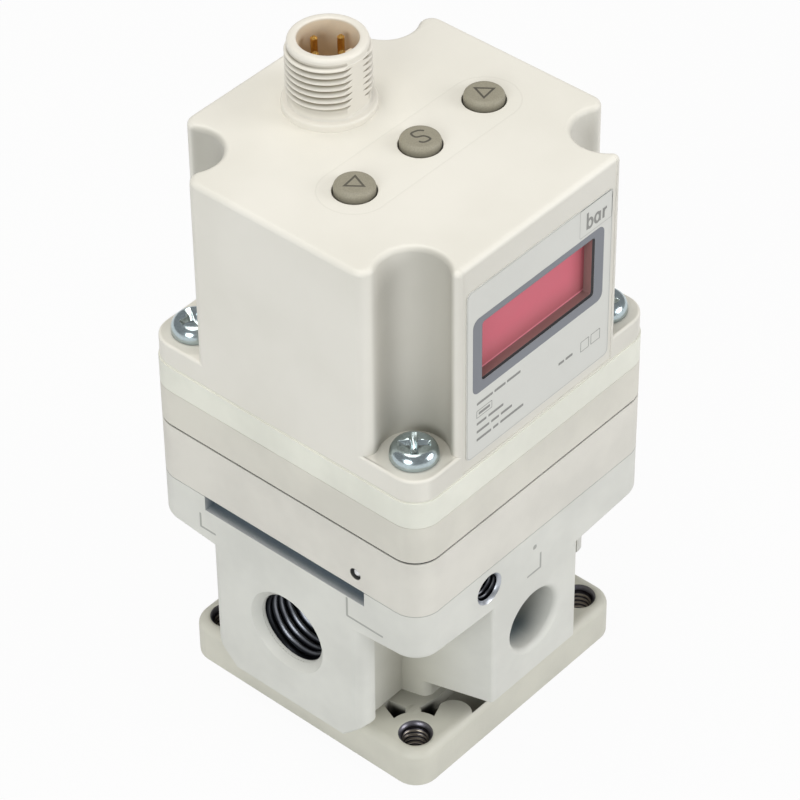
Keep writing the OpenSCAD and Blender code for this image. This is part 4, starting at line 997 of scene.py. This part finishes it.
# %% Button caps
BUTTON_TOP, BUTTON_R, BUTTON_ROUND = 94.06, 2.86, 0.7
STEM_R, COLLAR_R, COLLAR_LOW, COLLAR_TOP = 1.2, 4.2, 90.2, 90.98
shoulder = (BUTTON_R - BUTTON_ROUND, BUTTON_TOP - BUTTON_ROUND)
ahead, beside = cos(SIGN_TURN), sin(SIGN_TURN)
for node, spot in BUTTONS.items():
    profile = [(STEM_R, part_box(node)[0][2]/MM), (STEM_R, COLLAR_LOW), (COLLAR_R, COLLAR_LOW),
               (COLLAR_R, COLLAR_TOP), (BUTTON_R, COLLAR_TOP)] + arc(shoulder, BUTTON_ROUND, 0, QUARTER, 7)
    cap = Shape()
    cap.solid(cap.turned(profile, spot, 56))
    cap.paint = 1
    path, closed = SIGNS[node]
    path = [(spot[0] + x*beside + y*ahead, spot[1] - x*ahead + y*beside) for x, y in path]
    cap.band(*(cap.level(side, BUTTON_TOP + SIGN_LIFT) for side in ribbon(path, SIGN_LINE, closed)), closed)
    cap.piece(node + "_cap", [button_skin, engraved_line], "button_plastic", body=node + "_unit",
              replaces=(node,))

# %% [markdown]
# ## Connector
# The connector is a cream moulding: a collar on the cover, a thread with rounded ridges and one flat down its
# front, a broad rim and a socket with a key. The thread is a helix grid again, with the points in front pushed
# back to the flat, which needs no Boolean.

# %% Connector plastic
cuff_skin = Finish("connector_plastic", Specular_IOR_Level=0.45)
cx, cy, cz = cuff_skin.axes()
fine = cuff_skin.noise(4.0, 2, 0.55)
cloud = cuff_skin.noise(0.15, 3, 0.5)
from_front = cy - CONNECTOR[1]
from_middle = cx.reach(from_front)
# Painted shade in the thread's grooves, above the collar, below the rim and off the flat.
thread_groove_shade = (1 - from_middle.between(5.36, 5.78))*from_middle.between(4.9, 5.0)*cz.between(94.4, 95.2)
thread_groove_shade = thread_groove_shade*(1 - cz.between(102.8, 103.1))*from_front.between(-5.23, -5.17)
bore = (1 - from_middle.between(4.25, 4.5))*(1 - cz.between(103.3, 103.8))
cream = cuff_skin.mix(cloud*0.7 + fine*0.3, tint(224, 219, 208), tint(232, 228, 218))
cream = cuff_skin.mix(bore*0.7, cream, tint(228, 208, 176))
cream = cuff_skin.mix(thread_groove_shade*0.92, cream, tint(143, 135, 117))
cuff_skin.skin(cream, 0.36 + cloud*0.08 + fine*0.06, fine, 0.008)
print("connector finish:", cuff_skin.material.name)

# %% Connector rings
THREAD_R, RIDGE_LOW, RIM_R, SHANK_R, BORE_R, FLAT_Y = 5.95, 5.30, 5.58, 5.62, 4.2, -5.24
THREAD_START, THREAD_END, RUN_IN, RUN_OUT, FLAT_TOP = 95.3, 102.7, 0.6, 0.4, 102.4
angles = [tau*i/144 for i in range(144)]
cuff = Shape()


def cuff_ring(z, radii, cut=False):
    """A ring from its radius at each angle, pushed back to the flat in front where cut is true."""
    points = []
    for angle, radius in zip(angles, radii):
        y = radius*sin(angle)
        points.append((CONNECTOR[0] + radius*cos(angle), CONNECTOR[1] + (max(y, FLAT_Y) if cut else y), z))
    return cuff.ring(points)


def round_rings(profile):
    return [cuff_ring(z, [r]*len(angles)) for r, z in profile]


def ridge(z, angle):
    """Radius of a thread of 1 mm pitch that runs out into the shank and the rim."""
    wave = 0.5 - 0.5*cos(tau*((z - angle/tau) % 1.0))
    fade = max(0.0, min(1.0, (z - THREAD_START)/RUN_IN, (THREAD_END - z)/RUN_OUT))
    shank = SHANK_R if z < THREAD_START + RUN_IN else RIM_R
    return (RIDGE_LOW + (THREAD_R - RIDGE_LOW)*wave**0.8)*fade + shank*(1 - fade)


print("points in a ring:", len(angles))

# %% Connector shell
Z_RIM, Z_TAIL, Z_INSERT, Z_SHANK, Z_LIP, KEY_TOP, STEPS = 103.8, 87.5, 96.5, 94.2, 103.3, 103.2, 110
TAIL_R, NECK_R, COLLAR_OUT, SEAT_R = 5.98, 6.25, 6.6, BORE_R - 0.7
rings = round_rings([(SEAT_R, Z_TAIL), (TAIL_R, Z_TAIL), (TAIL_R, Z_TOP), (COLLAR_OUT, Z_TOP + 0.001)]
                    + arc((NECK_R, Z_TOP + 0.75), COLLAR_OUT - NECK_R, 0, QUARTER, 4)
                    + [(5.75, Z_TOP + 1.12), (SHANK_R, Z_TOP + 1.25)])
for z in (Z_SHANK + (Z_LIP - Z_SHANK)*j/STEPS for j in range(STEPS + 1)):
    rings.append(cuff_ring(z, [ridge(z, angle) for angle in angles], z < FLAT_TOP))
rings += round_rings([(5.54, 103.42), (5.44, 103.62), (5.30, 103.75), (5.12, Z_RIM), (4.50, Z_RIM),
                      (4.34, 103.74), (BORE_R, 103.55), (BORE_R, Z_INSERT + 0.02), (BORE_R, Z_TAIL + 1.5),
                      (SEAT_R, Z_TAIL + 1.5), (SEAT_R, Z_TAIL)])
cuff.bands(rings)

key = [(-0.6, -0.3), (0.6, -0.3), (0.6, 0.55), (0.45, 0.7), (-0.45, 0.7), (-0.6, 0.55)]
key = [(CONNECTOR[0] + x, CONNECTOR[1] - BORE_R + y) for x, y in key]
cuff.solid([cuff.level(key, z) for z in (Z_INSERT, KEY_TOP)])
cuff.piece("connector_cuff", [cuff_skin], "connector_plastic", replaces=("connector_shell",), sharp=50)

# %% [markdown]
# ## Cover screws
# Four long screws hold the stack together, and only their heads show: shallow pans with a cross recess. The pan
# is turned, and a Boolean takes two crossed, tapered blades out of it, which gives the recess clean walls.

# %% Screws
SCREW_LOW, SCREW_TOP, SHANK, HEAD_R, HEAD_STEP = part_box("cover_screws")[0][2]/MM, 63.9, 1.94, 3.4, Z_LEDGE + 0.55
head = [(SHANK, SCREW_LOW), (SHANK, Z_LEDGE), (3.2, Z_LEDGE), (HEAD_R, Z_LEDGE + 0.2), (HEAD_R, HEAD_STEP)]
head += [(1.7 + 1.7*cos(t)**0.9, HEAD_STEP + 1.85*sin(t)) for t in (QUARTER*i/9 for i in range(1, 9))]
head += [(1.45, SCREW_TOP)]
screws = Shape()
for spot in SCREWS:
    screws.solid(screws.turned(head, spot, 56))
heads = screws.piece("cover_screw_set", [zinc], "zinc_steel", replaces=("cover_screws",), sharp=40)

# %% Cross recesses
RECESS_REACH, RECESS_WIDTH, RECESS_DEPTH = 2.35, 1.0, 1.75
TURNS = [radians(angle) for angle in (59, 73, 42, 100)]


def recess_blades(name, quarter):
    """One tapered blade at each screw, so that none touch."""
    blades = Shape()
    for (x, y), angle in zip(SCREWS, TURNS):
        along, across = cos(angle + quarter), sin(angle + quarter)
        rings = []
        for z, length, half in ((SCREW_TOP + 0.6, RECESS_REACH*1.15, RECESS_WIDTH*0.56),
                                (SCREW_TOP - RECESS_DEPTH, RECESS_REACH*0.42, RECESS_WIDTH*0.34)):
            rings.append(blades.ring([(x + along*u*length - across*v*half, y + across*u*length + along*v*half, z)
                                      for u, v in ((-1, -1), (1, -1), (1, 1), (-1, 1))]))
        blades.bands(rings)
        blades.face(rings[0][::-1])
        blades.face(rings[1])
    return put(name, blades.mesh(name))


cutters = [recess_blades("first_blades", 0), recess_blades("second_blades", QUARTER)]
bpy.context.view_layer.update()
for cutter in cutters:
    cut = heads.modifiers.new("cross recess", "BOOLEAN")
    cut.object, cut.operation, cut.solver = cutter, "DIFFERENCE", "EXACT"
heads.modifiers.move(0, len(heads.modifiers) - 1)
graph = bpy.context.evaluated_depsgraph_get()
cut_mesh = bpy.data.meshes.new_from_object(heads.evaluated_get(graph))
heads.modifiers.clear()
heads.data = cut_mesh
cut_mesh.set_sharp_from_angle(angle=radians(40))
for cutter in cutters:
    bpy.data.objects.remove(cutter)
print("screw heads:", len(heads.data.polygons), "faces")

# %% [markdown]
# ## Springs
# Each spring stands between a fixed seat and a piece that moves, and a stiff coil would cut into what presses on
# it. The CAD coil is right at rest. A copy of it takes its place, and the share of its height that it would keep
# over the joint's full stroke is worked out and printed.

# %% Springs
def pressed(joint, node, seat):
    name = node + "_pressed"
    low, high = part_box(node)
    stroke = max(abs(end) for end in joint["range_m"])
    keep = 1 - stroke/max(high[2] - seat, seat - low[2])
    coil = dress(cad_copy(node, 0.001).mesh(name, outward=False), name, [spring_steel], "spring_steel",
                 replaces=(node,))
    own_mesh(coil)
    print(node, "keeps", round(keep, 3), "of its height")


for joint in frame["record"]["behaviour"]["joints"]:
    for soft in joint.get("deforming_nodes", []):
        if soft["node"].endswith("_spring"):
            pressed(joint, soft["node"], soft["fixed_end_z_m"])

# %% [markdown]
# ## Pieces that keep their CAD shape
# The ball plug, the seals and nearly everything inside are right as they are. They only need finishes, which go
# into the CAD objects' material slots, and their meshes stay untouched.

# %% Finishes of the CAD pieces
KEPT = {
    polished_steel: ["ball_plug"],
    plain_steel: ["base_screws", "board_screws", "pilot_valve_screws", "stem_nut", "supply_plunger",
                  "exhaust_plunger", "pressure_sensor", "connector_nut"],
    brass: ["main_valve", "valve_guide", "diaphragm_stem", "board_posts"],
    gilt: ["contact_pins"],
    cut_metal: ["diaphragm_lower_plate", "diaphragm_upper_plate"],
    spring_steel: [name for name in nodes if name.endswith("_spring")],
    insert_plastic: ["connector_insert"],
    black_plastic: ["supply_pilot_valve", "exhaust_pilot_valve", "tact_switches", "led_display"],
    board_resin: ["control_board", "display_board"],
}
wanted = {name: finish for finish, names in KEPT.items() for name in names}
for name, thing in nodes.items():
    for holder in thing.material_slots:
        holder.material = wanted.get(name, seal_rubber).material
print("CAD pieces that aren't rubber:", len(wanted))
